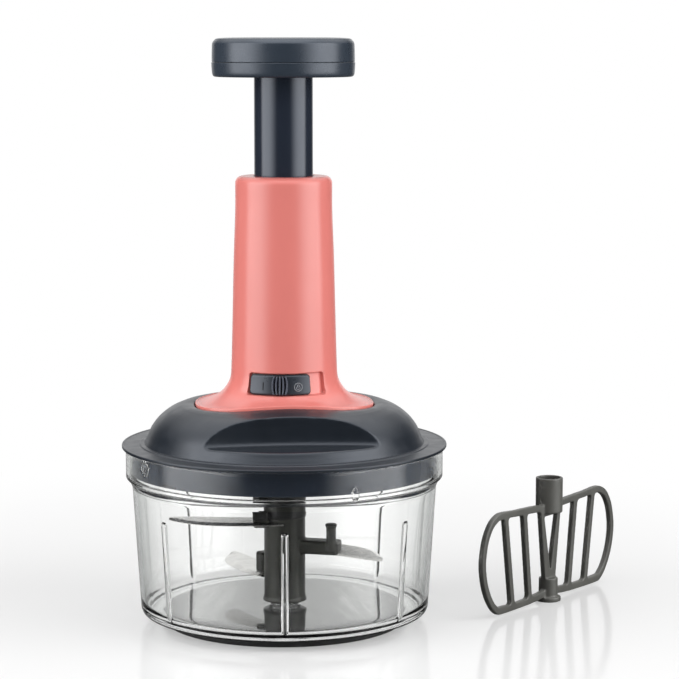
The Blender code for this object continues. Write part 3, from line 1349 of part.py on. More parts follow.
def make_paddle():
    """Model the mixing paddle: socket, foot and two wings with upright bars."""
    right = [paddle_point(across, up) for across, up in PADDLE_OUTLINE_SHARES]
    left = [(-x, z) for x, z in reversed(right)]
    outlines = [right + left]
    vee = [PADDLE_HALF_SPAN * across for across, _ in PADDLE_VEE_SHARES]
    bars = [tuple(PADDLE_HALF_SPAN * across for across, _ in bar) for bar in PADDLE_BAR_SHARES]
    for side in (1, -1):
        edges = [tuple(vee), *bars]
        for inner, outer in zip(edges, edges[1:]):
            outlines.append(window_outline(inner, outer, side))
        outlines.append(outer_window(bars[-1], side))
    frame_top = paddle_socket_low - PADDLE_BAR / 2
    half = PADDLE_BAR / 2
    vee_top = vee[0] - half
    outlines.append([(vee_top, frame_top), (-vee_top, frame_top), (0, PADDLE_HUB_HEIGHT + PADDLE_BAR)])
    frame = prism_mesh("mixing_paddle", outlines, -PADDLE_PLATE / 2, PADDLE_PLATE / 2)
    frame.transform(Matrix.Rotation(math.radians(90), 4, "X"))
    paddle = add_part("mixing_paddle", frame, GREY, paddle_axis)
    bore = PADDLE_SOCKET_RADIUS - PADDLE_SOCKET_WALL
    socket_floor = paddle_socket_low + PADDLE_BAR / 2
    socket = [(0, socket_floor), (bore, socket_floor), (bore, paddle_height),
              (PADDLE_SOCKET_RADIUS, paddle_height), (PADDLE_SOCKET_RADIUS, paddle_socket_low),
              (0, paddle_socket_low)]
    foot = [(0, PADDLE_HUB_HEIGHT), (PADDLE_HUB_RADIUS - GAP, PADDLE_HUB_HEIGHT),
            (PADDLE_HUB_RADIUS, PADDLE_HUB_HEIGHT - GAP), (PADDLE_HUB_RADIUS, PADDLE_FOOT_HEIGHT),
            (PADDLE_FOOT_RADIUS, PADDLE_FOOT_HEIGHT), (PADDLE_FOOT_RADIUS, 0), (0, 0)]
    space = rod_mesh("socket_space", bore, socket_floor, paddle_height, SMALL_FACETS)
    cut(paddle, add_tool("socket_space", space, paddle_axis))
    join(paddle, turned_tool("paddle_socket", socket, SMALL_FACETS, paddle_axis, closed=False))
    join(paddle, turned_tool("paddle_foot", foot, SMALL_FACETS, paddle_axis, closed=False))


def main():
    """Model every piece."""
    make_base()
    make_bowl()
    make_lid()
    make_cover()
    make_screws()
    make_tower()
    make_guides()
    make_springs()
    make_tube()
    make_knob()
    make_bar()
    make_drive()
    make_lock()
    make_blades()
    make_paddle()


main()
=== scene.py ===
"""Looks of the hand-press vegetable chopper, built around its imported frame.

Metres, +Z up, in the frame's own axes. Azimuths are in degrees about +Z, counted from the front
(-Y) towards +X. Outlines of turned pieces are (radius, height) pairs in millimetres above the
floor; a third number is the radius that a corner is rounded with.
"""

import math

import bmesh
import bpy
from mathutils import Matrix, Vector


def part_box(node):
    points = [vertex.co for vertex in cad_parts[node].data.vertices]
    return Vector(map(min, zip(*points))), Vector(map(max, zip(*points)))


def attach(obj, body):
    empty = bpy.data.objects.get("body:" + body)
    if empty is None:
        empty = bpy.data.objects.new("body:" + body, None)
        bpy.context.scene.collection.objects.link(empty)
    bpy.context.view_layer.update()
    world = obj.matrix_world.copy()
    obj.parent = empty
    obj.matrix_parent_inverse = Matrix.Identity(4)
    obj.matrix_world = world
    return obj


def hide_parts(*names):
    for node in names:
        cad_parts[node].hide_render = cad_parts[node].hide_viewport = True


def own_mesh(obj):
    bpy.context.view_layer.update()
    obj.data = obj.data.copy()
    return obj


MM = 0.001
FACETS = 176
RELAX_PASSES = 4

# The photograph's view
CAMERA_PLACE = (0, -1.2038, 0.2957)
CAMERA_PITCH = 82.806
CAMERA_YAW = -1.333
LENS = 127.2
CLIP_END = 50
SENSOR = 36

# The lid group is turned a little against the bowl
LID_TURN = 4

# Base and bowl, in millimetres
BASE_RADIUS = 61.5
BASE_TOP = 4.7
BOWL_BOTTOM = 5.0
BOWL_FLOOR = 8.0
BOWL_HEEL = 11.5
NECK_HEIGHT = 70.3
BAND_LOW = 74.5
RIM_HEIGHT = 89.75
BAND_RADIUS = 80.4
BAND_INNER = 78.6
NECK_RADIUS = 77.2
HEEL_RADIUS = 73.5
BOWL_WALL = 2.2
RIB_AZIMUTHS = (0, 52, 136, 180, 224, 308)
RIB_RADIUS = 1.7
RIB_TOP = 59.5
RAMP_AZIMUTHS = (-60, 120)
RAMP_LENGTH = 6.6
RAMP_WIDTH = 5.6
RAMP_SIDE = 0.38
RAMP_STROKE = 0.11
RAMP_DEPTH = 1.0
RAMP_TILT = 58
RAMP_HEIGHT = 84.6
MARK_AZIMUTH = 25
MARK_HEIGHT = 78.2
MARK_WIDTH = 2.1
MARK_LENGTH = 3.7
MARK_DEPTH = 1.3
LEDGE_HEIGHT = 76.3

# Lid, in millimetres
BRIM_LOW = 90.0
BRIM_RADIUS = 82.34
GROOVE_INNER = 78.4
GROOVE_OUTER = 80.2
GROOVE_DEPTH = 1.1
DOME_FOOT = 92.0
DOME_RADIUS = 70.5
SEAT_HEIGHT = 107.6
LID_BORE = 23.0
SKIRT_RADIUS = 77.4
SKIRT_INNER = 75.2
SKIRT_LOW = 77.6
LUG_START = (-53.5, 126.5)
LUG_SPAN = 7
LUG_LOW = 77.9
LUG_HIGH = 78.9
SCOOP_RADIUS = 228
SCOOP_LOW = 97.4
SCOOP_HALF = 60
SCOOP_STEPS = 20
COVER_RADIUS = 74.9
COVER_TOP = 85.6
COVER_LOW = 83.2
COVER_STEP = 83.8
COVER_NECK = 77.0
COVER_SCREWS = (30, 150, 270)
SCREW_CIRCLE = 30

# Tower, in millimetres
TOWER_LOW = 107.9
TOWER_TOP = 226.6
TOWER_BORE = 21.45
LOCK_BORE = 23.3
TUBE_RADIUS = 14.75
TUBE_HOLE = 15.05
ROOF_EDGE = 20.75
ROOF_CORNER = 3.6
ROOF_BEND = 223
FOOT_WIDTH = 45
FOOT_DEPTH = 35
FOOT_EXPONENT = 2.55
FOOT_TIP = 112.2
FOOT_RISE = 3.1
FOOT_LIP = 1.3
SEAT_GAP = 0.35
POCKET_START = -44.5
POCKET_END = 42.7
POCKET_LOW = 118.9
POCKET_HIGH = 129.9
POCKET_FLOOR = 25.0

# Travel lock, in millimetres
PLATE_START = -42.5
PLATE_END = 24.5
PLATE_INNER = 25.3
PLATE_OUTER = 27.0
PLATE_LOW = 119.5
PLATE_HIGH = 129.05
STEM_SLOT = (-22, 17)
STEM_LOW = 120.6
STEM_HIGH = 126.6
SYMBOL_WIRE = 0.24
SYMBOL_LIFT = 0.04
RING_LOW = 118.6
RING_HIGH = 128.6

# Knob and tube, in millimetres
KNOB_LOW = 275.9
KNOB_SEAM = 283.2
KNOB_TOP = 295.39
TUBE_LOW = 177.6
TUBE_TOP = 278.9
TUBE_BORE = 12.4
COLLAR_TOP = 182.6
LEG_LOW = 163.6
LEG_HIGH = 178.2

# Return spring, in millimetres
SPRING_WIRE = 0.7
SPRING_TURNS = 12
SPRING_STEPS = 36

# Blade unit, in millimetres
HUB_LOW = 10.2
HUB_TOP = 75.5
BLADE_TILT = 2
MIDDLE_TILT = -7
MIDDLE_DROOP = 5
BLADE_THICKNESS = 1.2
BLADE_LEAD = ((0.0, 0.56), (0.15, 0.61), (0.4, 0.60), (0.6, 0.55), (0.75, 0.44), (0.87, 0.27), (0.95, 0.08))
BLADE_TAIL = ((0.985, -0.04), (0.98, -0.12), (0.94, -0.165), (0.73, -0.17), (0.44, -0.16), (0.0, -0.145))

# Paddle, in millimetres
PADDLE_PLACE = (139.2, 35.5)
PADDLE_ANGLE = 51.5
PADDLE_SPAN = 64.5
PADDLE_BAR = 3.4
PADDLE_CORNER = 2.2
PADDLE_LOW = 1.4
PADDLE_RISE = 53.0
PADDLE_PLATE = 3.0
PADDLE_TOP = 66.0
SOCKET_LOW = 47.5
PADDLE_OUTLINE = ((0.06, 0.955), (0.28, 0.975), (0.52, 0.985), (0.70, 1.0), (0.79, 0.985), (0.88, 0.92),
                  (0.955, 0.79), (0.993, 0.63), (1.0, 0.50), (0.975, 0.34), (0.925, 0.20), (0.86, 0.09),
                  (0.79, 0.02), (0.72, 0.0), (0.45, 0.0), (0.20, 0.01), (0.06, 0.03))
PADDLE_VEE = (0.125, 0.040)
PADDLE_BARS = ((0.385, 0.300), (0.660, 0.555))

# Table top, in millimetres, and soft boxes, in metres: distance and height, width and height
TABLE_FRONT = -480
TABLE_BACK = 4000
TABLE_SIDE = 3000
SIDE_AZIMUTH = 60
SIDE_PLACE = (1.2, 0.44)
SIDE_SIZE = (1.84, 1.2)
TOP_PLACE = (0.2, 1.8)
TOP_SIZE = (1.6, 1.2)
LAMP_AIM = (0, 0, 0.15)

# Where the backdrop, the ceiling and the table get lighter or darker: starts and ends along an axis
WALL_SPAN = (0.80, 0.97)
CEILING_SPAN = (0.3, 0.8)
GLASS_SPAN = (0.35, 0.75)
UNDER_SPAN = (-0.2, -0.1)
ASIDE_SPAN = (0.16, 0.45)

# Light levels, where 1 is white, and the shares of a side box's width that are dark or fade
SIDE_LIGHT = 4.3
TOP_LIGHT = 1.05
FRONT_LIGHT = 0.03
BACK_LIGHT = 1.0
CEILING_LIGHT = 1.9
FILL_LIGHT = 0.22
FRONT_FADE = 0.55
BACK_FADE = 0.26
BACK_DARK = 0.08
FLOOR_GLOW = 0.3
FLOOR_LIGHT = 0.96
FLOOR_DARK = 0.09
TABLE_BESIDE = 0.3

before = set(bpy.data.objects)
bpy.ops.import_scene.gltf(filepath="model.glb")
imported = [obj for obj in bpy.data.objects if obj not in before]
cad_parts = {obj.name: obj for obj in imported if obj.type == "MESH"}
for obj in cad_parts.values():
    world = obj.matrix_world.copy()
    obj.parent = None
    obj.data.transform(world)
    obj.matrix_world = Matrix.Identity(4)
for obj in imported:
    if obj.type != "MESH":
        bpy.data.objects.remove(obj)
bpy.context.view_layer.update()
scene = bpy.context.scene


def tone(red, green, blue):
    """Turn an 8-bit screen colour into the renderer's linear values."""
    values = []
    for value in (red, green, blue):
        share = value / 255
        values.append(share / 12.92 if share <= 0.04045 else ((share + 0.055) / 1.055) ** 2.4)
    return tuple(values)


def shade(colour, factor):
    """Make a linear colour lighter or darker."""
    return tuple(min(1, value * factor) for value in colour)


def new_material(name):
    """Start a material, and give it with its node tree."""
    material = bpy.data.materials.new(name)
    material.use_nodes = True
    return material, material.node_tree


def feed(tree, item, inputs):
    """Link sockets to a node's inputs, or set the inputs to plain values."""
    for name, value in inputs.items():
        if isinstance(value, bpy.types.NodeSocket):
            tree.links.new(value, item.inputs[name])
        else:
            item.inputs[name].default_value = value


def node(tree, kind, inputs=None, **settings):
    """Add a shader node, and give its outputs."""
    item = tree.nodes.new(f"ShaderNode{kind}")
    for name, value in settings.items():
        setattr(item, name, value)
    feed(tree, item, inputs or {})
    return item.outputs


def object_noise(tree, size, detail=3, stretch=(1, 1, 1)):
    """Add a noise in the piece's own coordinates, with features of a given size in metres."""
    place = node(tree, "TexCoord")["Object"]
    mapping = node(tree, "Mapping", {"Vector": place, "Scale": stretch})["Vector"]
    return node(tree, "TexNoise", {"Vector": mapping, "Scale": 1 / size, "Detail": detail})["Fac"]


def tint(tree, value, low, high, start=0.35, end=0.65):
    """Mix two colours by a texture's value."""
    ramp = tree.nodes.new("ShaderNodeValToRGB")
    for element, position, colour in zip(ramp.color_ramp.elements, (start, end), (low, high)):
        element.position = position
        element.color = (*colour, 1)
    feed(tree, ramp, {"Fac": value})
    return ramp.outputs["Color"]


def level_along(tree, axis, start, end, low, high, interpolation="SMOOTHSTEP"):
    """Give a level that rises smoothly along an axis."""
    inputs = {"Value": axis, "From Min": start, "From Max": end, "To Min": low, "To Max": high}
    return node(tree, "MapRange", inputs, interpolation_type=interpolation)["Result"]


def spread(tree, value, low, high):
    """Map a texture's value to a range."""
    return level_along(tree, value, 0.3, 0.7, low, high, "LINEAR")


def combine(tree, operation, *values):
    """Give the result of a sum on one or two sockets."""
    return node(tree, "Math", dict(enumerate(values)), operation=operation)["Value"]


def bump(tree, value, depth, strength, normal=None):
    """Turn a texture's value into relief."""
    inputs = {"Height": value, "Distance": depth, "Strength": strength}
    if normal is not None:
        inputs["Normal"] = normal
    return node(tree, "Bump", inputs)["Normal"]


def plain_material(name, looks):
    """Make a material from what looks(tree) gives for the Principled shader's inputs."""
    material, tree = new_material(name)
    feed(tree, tree.nodes["Principled BSDF"], looks(tree))
    return material


def moulded_plastic(name, colour, roughness, grain=0.0, mottle=0.05, shine=0.5, sheen=(1, 1, 1)):
    """Moulded plastic: faint flow marks in the colour, uneven gloss and a fine moulded surface."""
    def looks(tree):
        flow = object_noise(tree, 0.018, 4, (1, 1, 0.35))
        wave = bump(tree, object_noise(tree, 0.009, 2), 0.00004, 0.25)
        return {
            "Base Color": tint(tree, flow, shade(colour, 1 - mottle), shade(colour, 1 + mottle)),
            "Roughness": spread(tree, object_noise(tree, 0.006, 5), roughness * 0.88, roughness * 1.12),
            "Normal": bump(tree, object_noise(tree, 0.00045, 2), grain, 0.5, wave) if grain else wave,
            "IOR": 1.5,
            "Specular IOR Level": shine,
            "Specular Tint": (*sheen, 1),
        }
    return plain_material(name, looks)


def clear_plastic(tree):
    """Clear bowl plastic, a little greyer where it is seen edge-on."""
    facing = node(tree, "LayerWeight", {"Blend": 0.35})["Facing"]
    return {
        "Base Color": tint(tree, facing, (0.995, 1.0, 0.995), (0.40, 0.44, 0.42), 0.35, 1.0),
        "Roughness": spread(tree, object_noise(tree, 0.012, 3), 0.015, 0.035),
        "Normal": bump(tree, object_noise(tree, 0.014, 2, (1, 1, 0.4)), 0.00006, 0.12),
        "IOR": 1.49,
        "Transmission Weight": 1.0,
    }


def brushed_steel(name, colour, roughness, stretch):
    """Ground steel with fine scratches that run one way."""
    def looks(tree):
        lines = object_noise(tree, 0.00025, 2, stretch)
        clouds = object_noise(tree, 0.008, 3)
        return {
            "Base Color": tint(tree, clouds, shade(colour, 0.92), shade(colour, 1.04)),
            "Roughness": spread(tree, lines, roughness * 0.75, roughness * 1.3),
            "Normal": bump(tree, lines, 0.000004, 0.3),
            "Metallic": 1.0,
        }
    return plain_material(name, looks)


def rubber(tree):
    """Matte rubber with a fine bloom."""
    bloom = object_noise(tree, 0.005, 5)
    dark = tone(44, 45, 45)
    return {
        "Base Color": tint(tree, bloom, shade(dark, 0.85), shade(dark, 1.35)),
        "Roughness": spread(tree, bloom, 0.62, 0.8),
        "Normal": bump(tree, object_noise(tree, 0.0004, 2), 0.00003, 0.4),
    }


COOL = (0.86, 0.91, 1.0)
CORAL = moulded_plastic("coral_plastic", tone(226, 129, 121), 0.24, mottle=0.025)
SLATE = moulded_plastic("slate_plastic", tone(36, 42, 53), 0.17, mottle=0.07, shine=0.53, sheen=COOL)
KNOB = moulded_plastic("knob_plastic", tone(47, 55, 65), 0.29, 0.000012, 0.06, 0.58, COOL)
LID = moulded_plastic("lid_plastic", tone(28, 33, 40), 0.34, 0.000014, 0.08, 0.5, COOL)
# A lighter, bluer and glossier copy of the lid plastic for the skirt seen through the bowl's band: the extra
# lightness and blue are painted light
LIT_SKIRT = moulded_plastic("skirt_painted_light", tone(50, 59, 73), 0.17, mottle=0.06, shine=0.62, sheen=COOL)
LOCK = moulded_plastic("lock_plastic", tone(50, 55, 62), 0.3, 0.00001, 0.06, 0.54, COOL)
# A lighter copy of the lock plastic for the grip's fins: painted highlight on the ridges
FIN_HIGHLIGHT = moulded_plastic("fin_highlight_plastic", tone(66, 70, 82), 0.36, 0.00001, 0.06, 0.5, COOL)
HUB = moulded_plastic("hub_plastic", tone(36, 37, 29), 0.42, 0.00001, 0.08, 0.4)
# Near-black plastic: painted shade on the hub's top, round the thumb plate and between the grip's fins; also
# the print of the open symbol
SHADE_AND_PRINT_BLACK = moulded_plastic("shade_and_print_black", tone(17, 18, 19), 0.4, 0.00001, 0.06, 0.3)
PADDLE = moulded_plastic("paddle_plastic", tone(86, 86, 82), 0.42, grain=0.000016, mottle=0.10)
NYLON = moulded_plastic("nylon", tone(222, 219, 208), 0.45, grain=0.00001)
MARKS = moulded_plastic("mark_plastic", tone(128, 132, 138), 0.3)
CLEAR = plain_material("clear_plastic", clear_plastic)
RUBBER = plain_material("rubber", rubber)
STEEL = brushed_steel("screw_steel", (0.60, 0.60, 0.61), 0.28, (1, 1, 0.1))
BLADE = brushed_steel("blade_steel", (0.82, 0.81, 0.79), 0.26, (0.04, 1, 1))


def polar(radius, azimuth, height=0.0):
    """Give the point at a radius and an azimuth from the front, in the outline's units."""
    angle = math.radians(azimuth)
    return Vector((radius * math.sin(angle), -radius * math.cos(angle), height))


def spin(degrees, axis="Z"):
    """Give a turn about an axis through the origin."""
    return Matrix.Rotation(math.radians(degrees), 4, axis)


def shift(x=0.0, y=0.0, z=0.0):
    """Give a move, in millimetres."""
    return Matrix.Translation((x * MM, y * MM, z * MM))


def even(count):
    """Spread azimuths evenly round the circle."""
    return [360 * step / count for step in range(count)]


def finer(azimuths, centre, half, step):
    """Add closely spaced azimuths round a feature."""
    count = round(half / step)
    extra = [(centre + step * index) % 360 for index in range(-count, count + 1)]
    kept = [azimuth for azimuth in azimuths if abs((azimuth - centre + 180) % 360 - 180) > half]
    return sorted(kept + extra)


def soften(points, closed=True, steps=5):
    """Round the corners of an outline that carry a radius."""
    result = []
    for index, point in enumerate(points):
        inner = closed or 0 < index < len(points) - 1
        if len(point) < 3 or not inner:
            result.append(tuple(point[:2]))
            continue
        corner = Vector(point[:2])
        before = Vector(points[index - 1][:2]) - corner
        after = Vector(points[(index + 1) % len(points)][:2]) - corner
        reach = min(point[2], before.length * 0.48, after.length * 0.48)
        start = corner + before.normalized() * reach
        end = corner + after.normalized() * reach
        for step in range(steps + 1):
            share = step / steps
            spot = start.lerp(corner, share).lerp(corner.lerp(end, share), share)
            result.append(tuple(spot))
    return result


def flowing(points, steps=6):
    """Draw a smooth curve through points, as a moulded surface runs through its stations."""
    result = []
    spots = [Vector(point) for point in points]
    spots = [2 * spots[0] - spots[1], *spots, 2 * spots[-1] - spots[-2]]
    for before, start, end, after in zip(spots, spots[1:], spots[2:], spots[3:]):
        for step in range(steps):
            share = step / steps
            spot = 0.5 * (2 * start + (end - before) * share
                          + (2 * before - 5 * start + 4 * end - after) * share ** 2
                          + (3 * start - before - 3 * end + after) * share ** 3)
            result.append(tuple(spot))
    result.append(tuple(points[-1]))
    return result


def split(points, longest, closed=True):
    """Add points along an outline so that no step is longer than a given length."""
    result = []
    pairs = list(zip(points, points[1:] + points[:1])) if closed else list(zip(points, points[1:]))
    for start, end in pairs:
        count = max(1, math.ceil(math.dist(start, end) / longest))
        for step in range(count):
            result.append(tuple(Vector(start).lerp(Vector(end), step / count)))
    if not closed:
        result.append(tuple(points[-1]))
    return result


def finish_mesh(shape, name, sharp=35):
    """Store a mesh in metres, shaded smooth up to its sharp edges."""
    bmesh.ops.recalc_face_normals(shape, faces=shape.faces)
    mesh = bpy.data.meshes.new(name)
    shape.to_mesh(mesh)
    shape.free()
    mesh.transform(Matrix.Diagonal((MM, MM, MM, 1)))
    mesh.shade_smooth()
    mesh.set_sharp_from_angle(angle=math.radians(sharp))
    return mesh


def turned_mesh(name, outline, azimuths=None, push=None, closed=True, sharp=35):
    """Turn an outline round +Z.

    The outline may be a function of the azimuth. push(azimuth, radius, height) moves a point along its
    radius.
    """
    azimuths = azimuths or even(FACETS)
    fixed = None if callable(outline) else soften(outline, closed)
    shape = bmesh.new()
    poles = {}
    columns = []
    for azimuth in azimuths:
        column = []
        points = outline(azimuth) if callable(outline) else fixed
        for index, (radius, height) in enumerate(points):
            if radius == 0:
                if index not in poles:
                    poles[index] = shape.verts.new((0, 0, height))
                column.append(poles[index])
                continue
            moved = radius + (push(azimuth, radius, height) if push else 0)
            column.append(shape.verts.new(polar(moved, azimuth, height)))
        columns.append(column)
    size = len(columns[0])
    count = size if closed else size - 1
    for near, far in zip(columns, columns[1:] + columns[:1]):
        for index in range(count):
            after = (index + 1) % size
            corners = [near[index], near[after], far[after], far[index]]
            corners = list(dict.fromkeys(corners))
            if len(corners) > 2:
                shape.faces.new(corners)
    return finish_mesh(shape, name, sharp)


def joined(shape, rings, name, sharp=35, order=1):
    """Join rings of points into a closed tube, and store it.

    With order -1 the cap on the first ring runs the other way round.
    """
    shape.faces.new(rings[0][::order])
    shape.faces.new(rings[-1])
    for near, far in zip(rings, rings[1:]):
        for index in range(len(near)):
            after = (index + 1) % len(near)
            shape.faces.new((near[index], near[after], far[after], far[index]))
    return finish_mesh(shape, name, sharp)


def placed(name, data):
    """Add an object to the scene."""
    item = bpy.data.objects.new(name, data)
    scene.collection.objects.link(item)
    return item


def add(name, mesh, material, body, replaces=(), turn=0):
    """Add a piece that rides on a body, turned about +Z with its group."""
    mesh.transform(spin(turn))
    piece = placed(name, mesh)
    mesh.materials.clear()
    mesh.materials.append(material)
    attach(piece, body)
    if replaces:
        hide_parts(*replaces)
    return piece


def add_dark(name, mesh, material, body, replaces=()):
    """Add a dark plastic piece that is turned with the lid."""
    return add(name, mesh, material, body, replaces, LID_TURN)


def final_mesh(*items):
    """Give the first object's mesh as its modifiers leave it, and remove the objects."""
    bpy.context.view_layer.update()
    mesh = bpy.data.meshes.new_from_object(items[0].evaluated_get(bpy.context.evaluated_depsgraph_get()))
    for item in items:
        bpy.data.objects.remove(item)
    return mesh


def shaped(mesh, *tools, operation="DIFFERENCE", sharp=None):
    """Cut a mesh with tools, or join them, and give the new mesh."""
    target = placed(mesh.name, mesh)
    cutters = [placed(tool.name, tool) for tool in tools]
    for cutter in cutters:
        modifier = target.modifiers.new(cutter.name, "BOOLEAN")
        modifier.operation = operation
        modifier.solver = "EXACT"
        modifier.object = cutter
    result = final_mesh(target, *cutters)
    if sharp:
        result.set_sharp_from_angle(angle=math.radians(sharp))
    return result


def melted(mesh, voxel):
    """Remake a mesh on an even grid and relax it, so that its edges and joins get moulded radii."""
    target = placed(mesh.name, mesh)
    remesh = target.modifiers.new("even", "REMESH")
    remesh.mode = "VOXEL"
    remesh.voxel_size = voxel * MM
    relax = target.modifiers.new("relax", "SMOOTH")
    relax.factor = 0.5
    relax.iterations = RELAX_PASSES
    result = final_mesh(target)
    result.shade_smooth()
    return result


def prism_mesh(name, outline, low, high):
    """Make an upright prism from a flat outline."""
    shape = bmesh.new()
    face = shape.faces.new([shape.verts.new((x, y, low)) for x, y in outline])
    raised = bmesh.ops.extrude_face_region(shape, geom=[face], use_keep_orig=True)
    points = [item for item in raised["geom"] if isinstance(item, bmesh.types.BMVert)]
    bmesh.ops.translate(shape, verts=points, vec=(0, 0, high - low))
    return finish_mesh(shape, name)


def sector_mesh(name, inner, outer, start, end, low, high, soft=0.3, steps=14):
    """Make a piece of ring with softened edges."""
    azimuths = [start + (end - start) * step / steps for step in range(steps + 1)]
    outline = [polar(outer, azimuth)[:2] for azimuth in azimuths]
    outline += [polar(inner, azimuth)[:2] for azimuth in reversed(azimuths)]
    return rounded_mesh(prism_mesh(name, outline, low, high), soft)


def rounded_mesh(mesh, radius, steps=3):
    """Round a mesh's sharp edges."""
    shape = bmesh.new()
    shape.from_mesh(mesh)
    bmesh.ops.recalc_face_normals(shape, faces=shape.faces)
    edges = [edge for edge in shape.edges if edge.calc_face_angle(0) > math.radians(30)]
    bmesh.ops.bevel(shape, geom=edges, offset=radius * MM, segments=steps, profile=0.5, affect="EDGES",
                    clamp_overlap=True)
    shape.to_mesh(mesh)
    shape.free()
    mesh.shade_smooth()
    mesh.set_sharp_from_angle(angle=math.radians(50))
    return mesh


def block_mesh(name, low, high, soft=0.4):
    """Make a block with rounded edges between two corners."""
    outline = [(low[0], low[1]), (high[0], low[1]), (high[0], high[1]), (low[0], high[1])]
    return rounded_mesh(prism_mesh(name, outline, low[2], high[2]), soft)


def outward(mesh, azimuth, height=0.0, tilt=0.0):
    """Turn a mesh so that its X points out along an azimuth and its Y leads it."""
    mesh.transform(spin(azimuth - 90) @ shift(z=height) @ spin(tilt, "X"))
    return mesh


def rod(name, radius, low, high, x=0.0, y=0.0, facets=48):
    """Make an upright round rod that other shapes are cut or joined with."""
    mesh = turned_mesh(name, [(0, high), (radius, high), (radius, low), (0, low)], even(facets), closed=False)
    mesh.transform(shift(x, y))
    return mesh


def line_curve(name, lines, dimensions, closed=False):
    """Draw a curve through lines of points, in metres."""
    curve = bpy.data.curves.new(name, "CURVE")
    curve.dimensions = dimensions
    for line in lines:
        spline = curve.splines.new("POLY")
        spline.points.add(len(line) - 1)
        for point, place in zip(spline.points, line):
            point.co = (*place, 1)
        spline.use_cyclic_u = closed
    return curve


def filled_mesh(name, outlines, low, high):
    """Make an upright prism from flat outlines; later outlines are holes."""
    lines = [[(x * MM, y * MM, 0) for x, y in outline] for outline in outlines]
    curve = line_curve(name, lines, "2D", closed=True)
    curve.fill_mode = "BOTH"
    curve.extrude = (high - low) / 2 * MM
    mesh = final_mesh(placed(name, curve))
    mesh.transform(shift(z=(high + low) / 2))
    shape = bmesh.new()
    shape.from_mesh(mesh)
    bmesh.ops.remove_doubles(shape, verts=shape.verts, dist=0.002 * MM)
    bmesh.ops.recalc_face_normals(shape, faces=shape.faces)
    shape.to_mesh(mesh)
    shape.free()
    return mesh


def step_between(value, low, high):
    """Rise smoothly from 0 to 1 between two values."""
    share = min(1, max(0, (value - low) / (high - low)))
    return share * share * (3 - 2 * share)


def turned_off(azimuth, centre):
    """Give how far an azimuth lies from another, in degrees."""
    return (azimuth - centre + 180) % 360 - 180


def outside_box(along, across, half_length, half_width, corner):
    """Give the distance outside a box with rounded corners, negative inside it."""
    x = abs(along) - half_length + corner
    y = abs(across) - half_width + corner
    return math.hypot(max(x, 0), max(y, 0)) + min(max(x, y), 0) - corner


def wall_radius(height):
    """Give the inside radius of the bowl's wall at a height."""
    share = (height - BOWL_HEEL) / (NECK_HEIGHT - BOWL_HEEL)
    return HEEL_RADIUS + (NECK_RADIUS - HEEL_RADIUS) * share - BOWL_WALL


def rib_relief(azimuth, radius, height):
    """Give how far a rib raises the inside of the bowl's wall."""
    for centre in RIB_AZIMUTHS:
        aside = math.radians(turned_off(azimuth, centre)) * radius
        above = max(0, height - RIB_TOP + RIB_RADIUS)
        apart = math.hypot(aside, above)
        if apart < RIB_RADIUS:
            crest = wall_radius(height) - math.sqrt(RIB_RADIUS ** 2 - apart ** 2)
            return min(0, crest - radius)
    return 0


def ramp_relief(azimuth, radius, height):
    """Give how far a bayonet ramp raises the inside of the band."""
    tilt = math.radians(RAMP_TILT)
    for centre in RAMP_AZIMUTHS:
        aside = math.radians(turned_off(azimuth, centre)) * radius
        above = height - RAMP_HEIGHT
        along = aside * math.cos(tilt) + above * math.sin(tilt)
        across = aside * math.sin(tilt) - above * math.cos(tilt)
        slot = min(abs(across), abs(abs(across) - RAMP_WIDTH * RAMP_SIDE))
        outside = outside_box(along, slot, RAMP_LENGTH / 2, RAMP_WIDTH * RAMP_STROKE, 0.2)
        if outside < 0.1:
            return -RAMP_DEPTH * (1 - step_between(outside, -0.2, 0.1))
    return 0


def mark_relief(azimuth, radius, height):
    """Give how far the drop-shaped index mark stands out of the band."""
    aside = math.radians(turned_off(azimuth, MARK_AZIMUTH)) * radius
    above = height - MARK_HEIGHT
    half = MARK_WIDTH * (1 - 0.4 * step_between(above, 0, MARK_LENGTH))
    inside = 1 - (aside / half) ** 2 - (above / MARK_LENGTH) ** 2
    return MARK_DEPTH * math.sqrt(inside) if inside > 0 else 0


def bowl_relief(azimuth, radius, height):
    """Give the relief of the bowl's ribs, ramps and mark."""
    if height < NECK_HEIGHT - 4 and BASE_RADIUS < radius < wall_radius(height) + 0.4:
        return rib_relief(azimuth, radius, height)
    if height > BAND_LOW and abs(radius - BAND_INNER) < 0.3:
        return ramp_relief(azimuth, radius, height)
    if height > BAND_LOW and abs(radius - BAND_RADIUS) < 0.3:
        return mark_relief(azimuth, radius, height)
    return 0


def make_base():
    """The non-slip disc: grooved underneath, with rounded edges."""
    outline = [(0, BASE_TOP), (BASE_RADIUS, BASE_TOP, 0.7), (BASE_RADIUS, 0, 1.0), (57.5, 0, 0.3),
               (56.8, 0.5, 0.2), (54.5, 0.5, 0.2), (53.8, 0, 0.3), (44, 0, 0.3), (44, 0.8, 0.3),
               (38, 0.8, 0.3), (38, 0, 0.3), (0, 0)]
    mesh = turned_mesh("base", outline, closed=False)
    add("base_disc", mesh, RUBBER, "bowl", ["non_slip_base"])


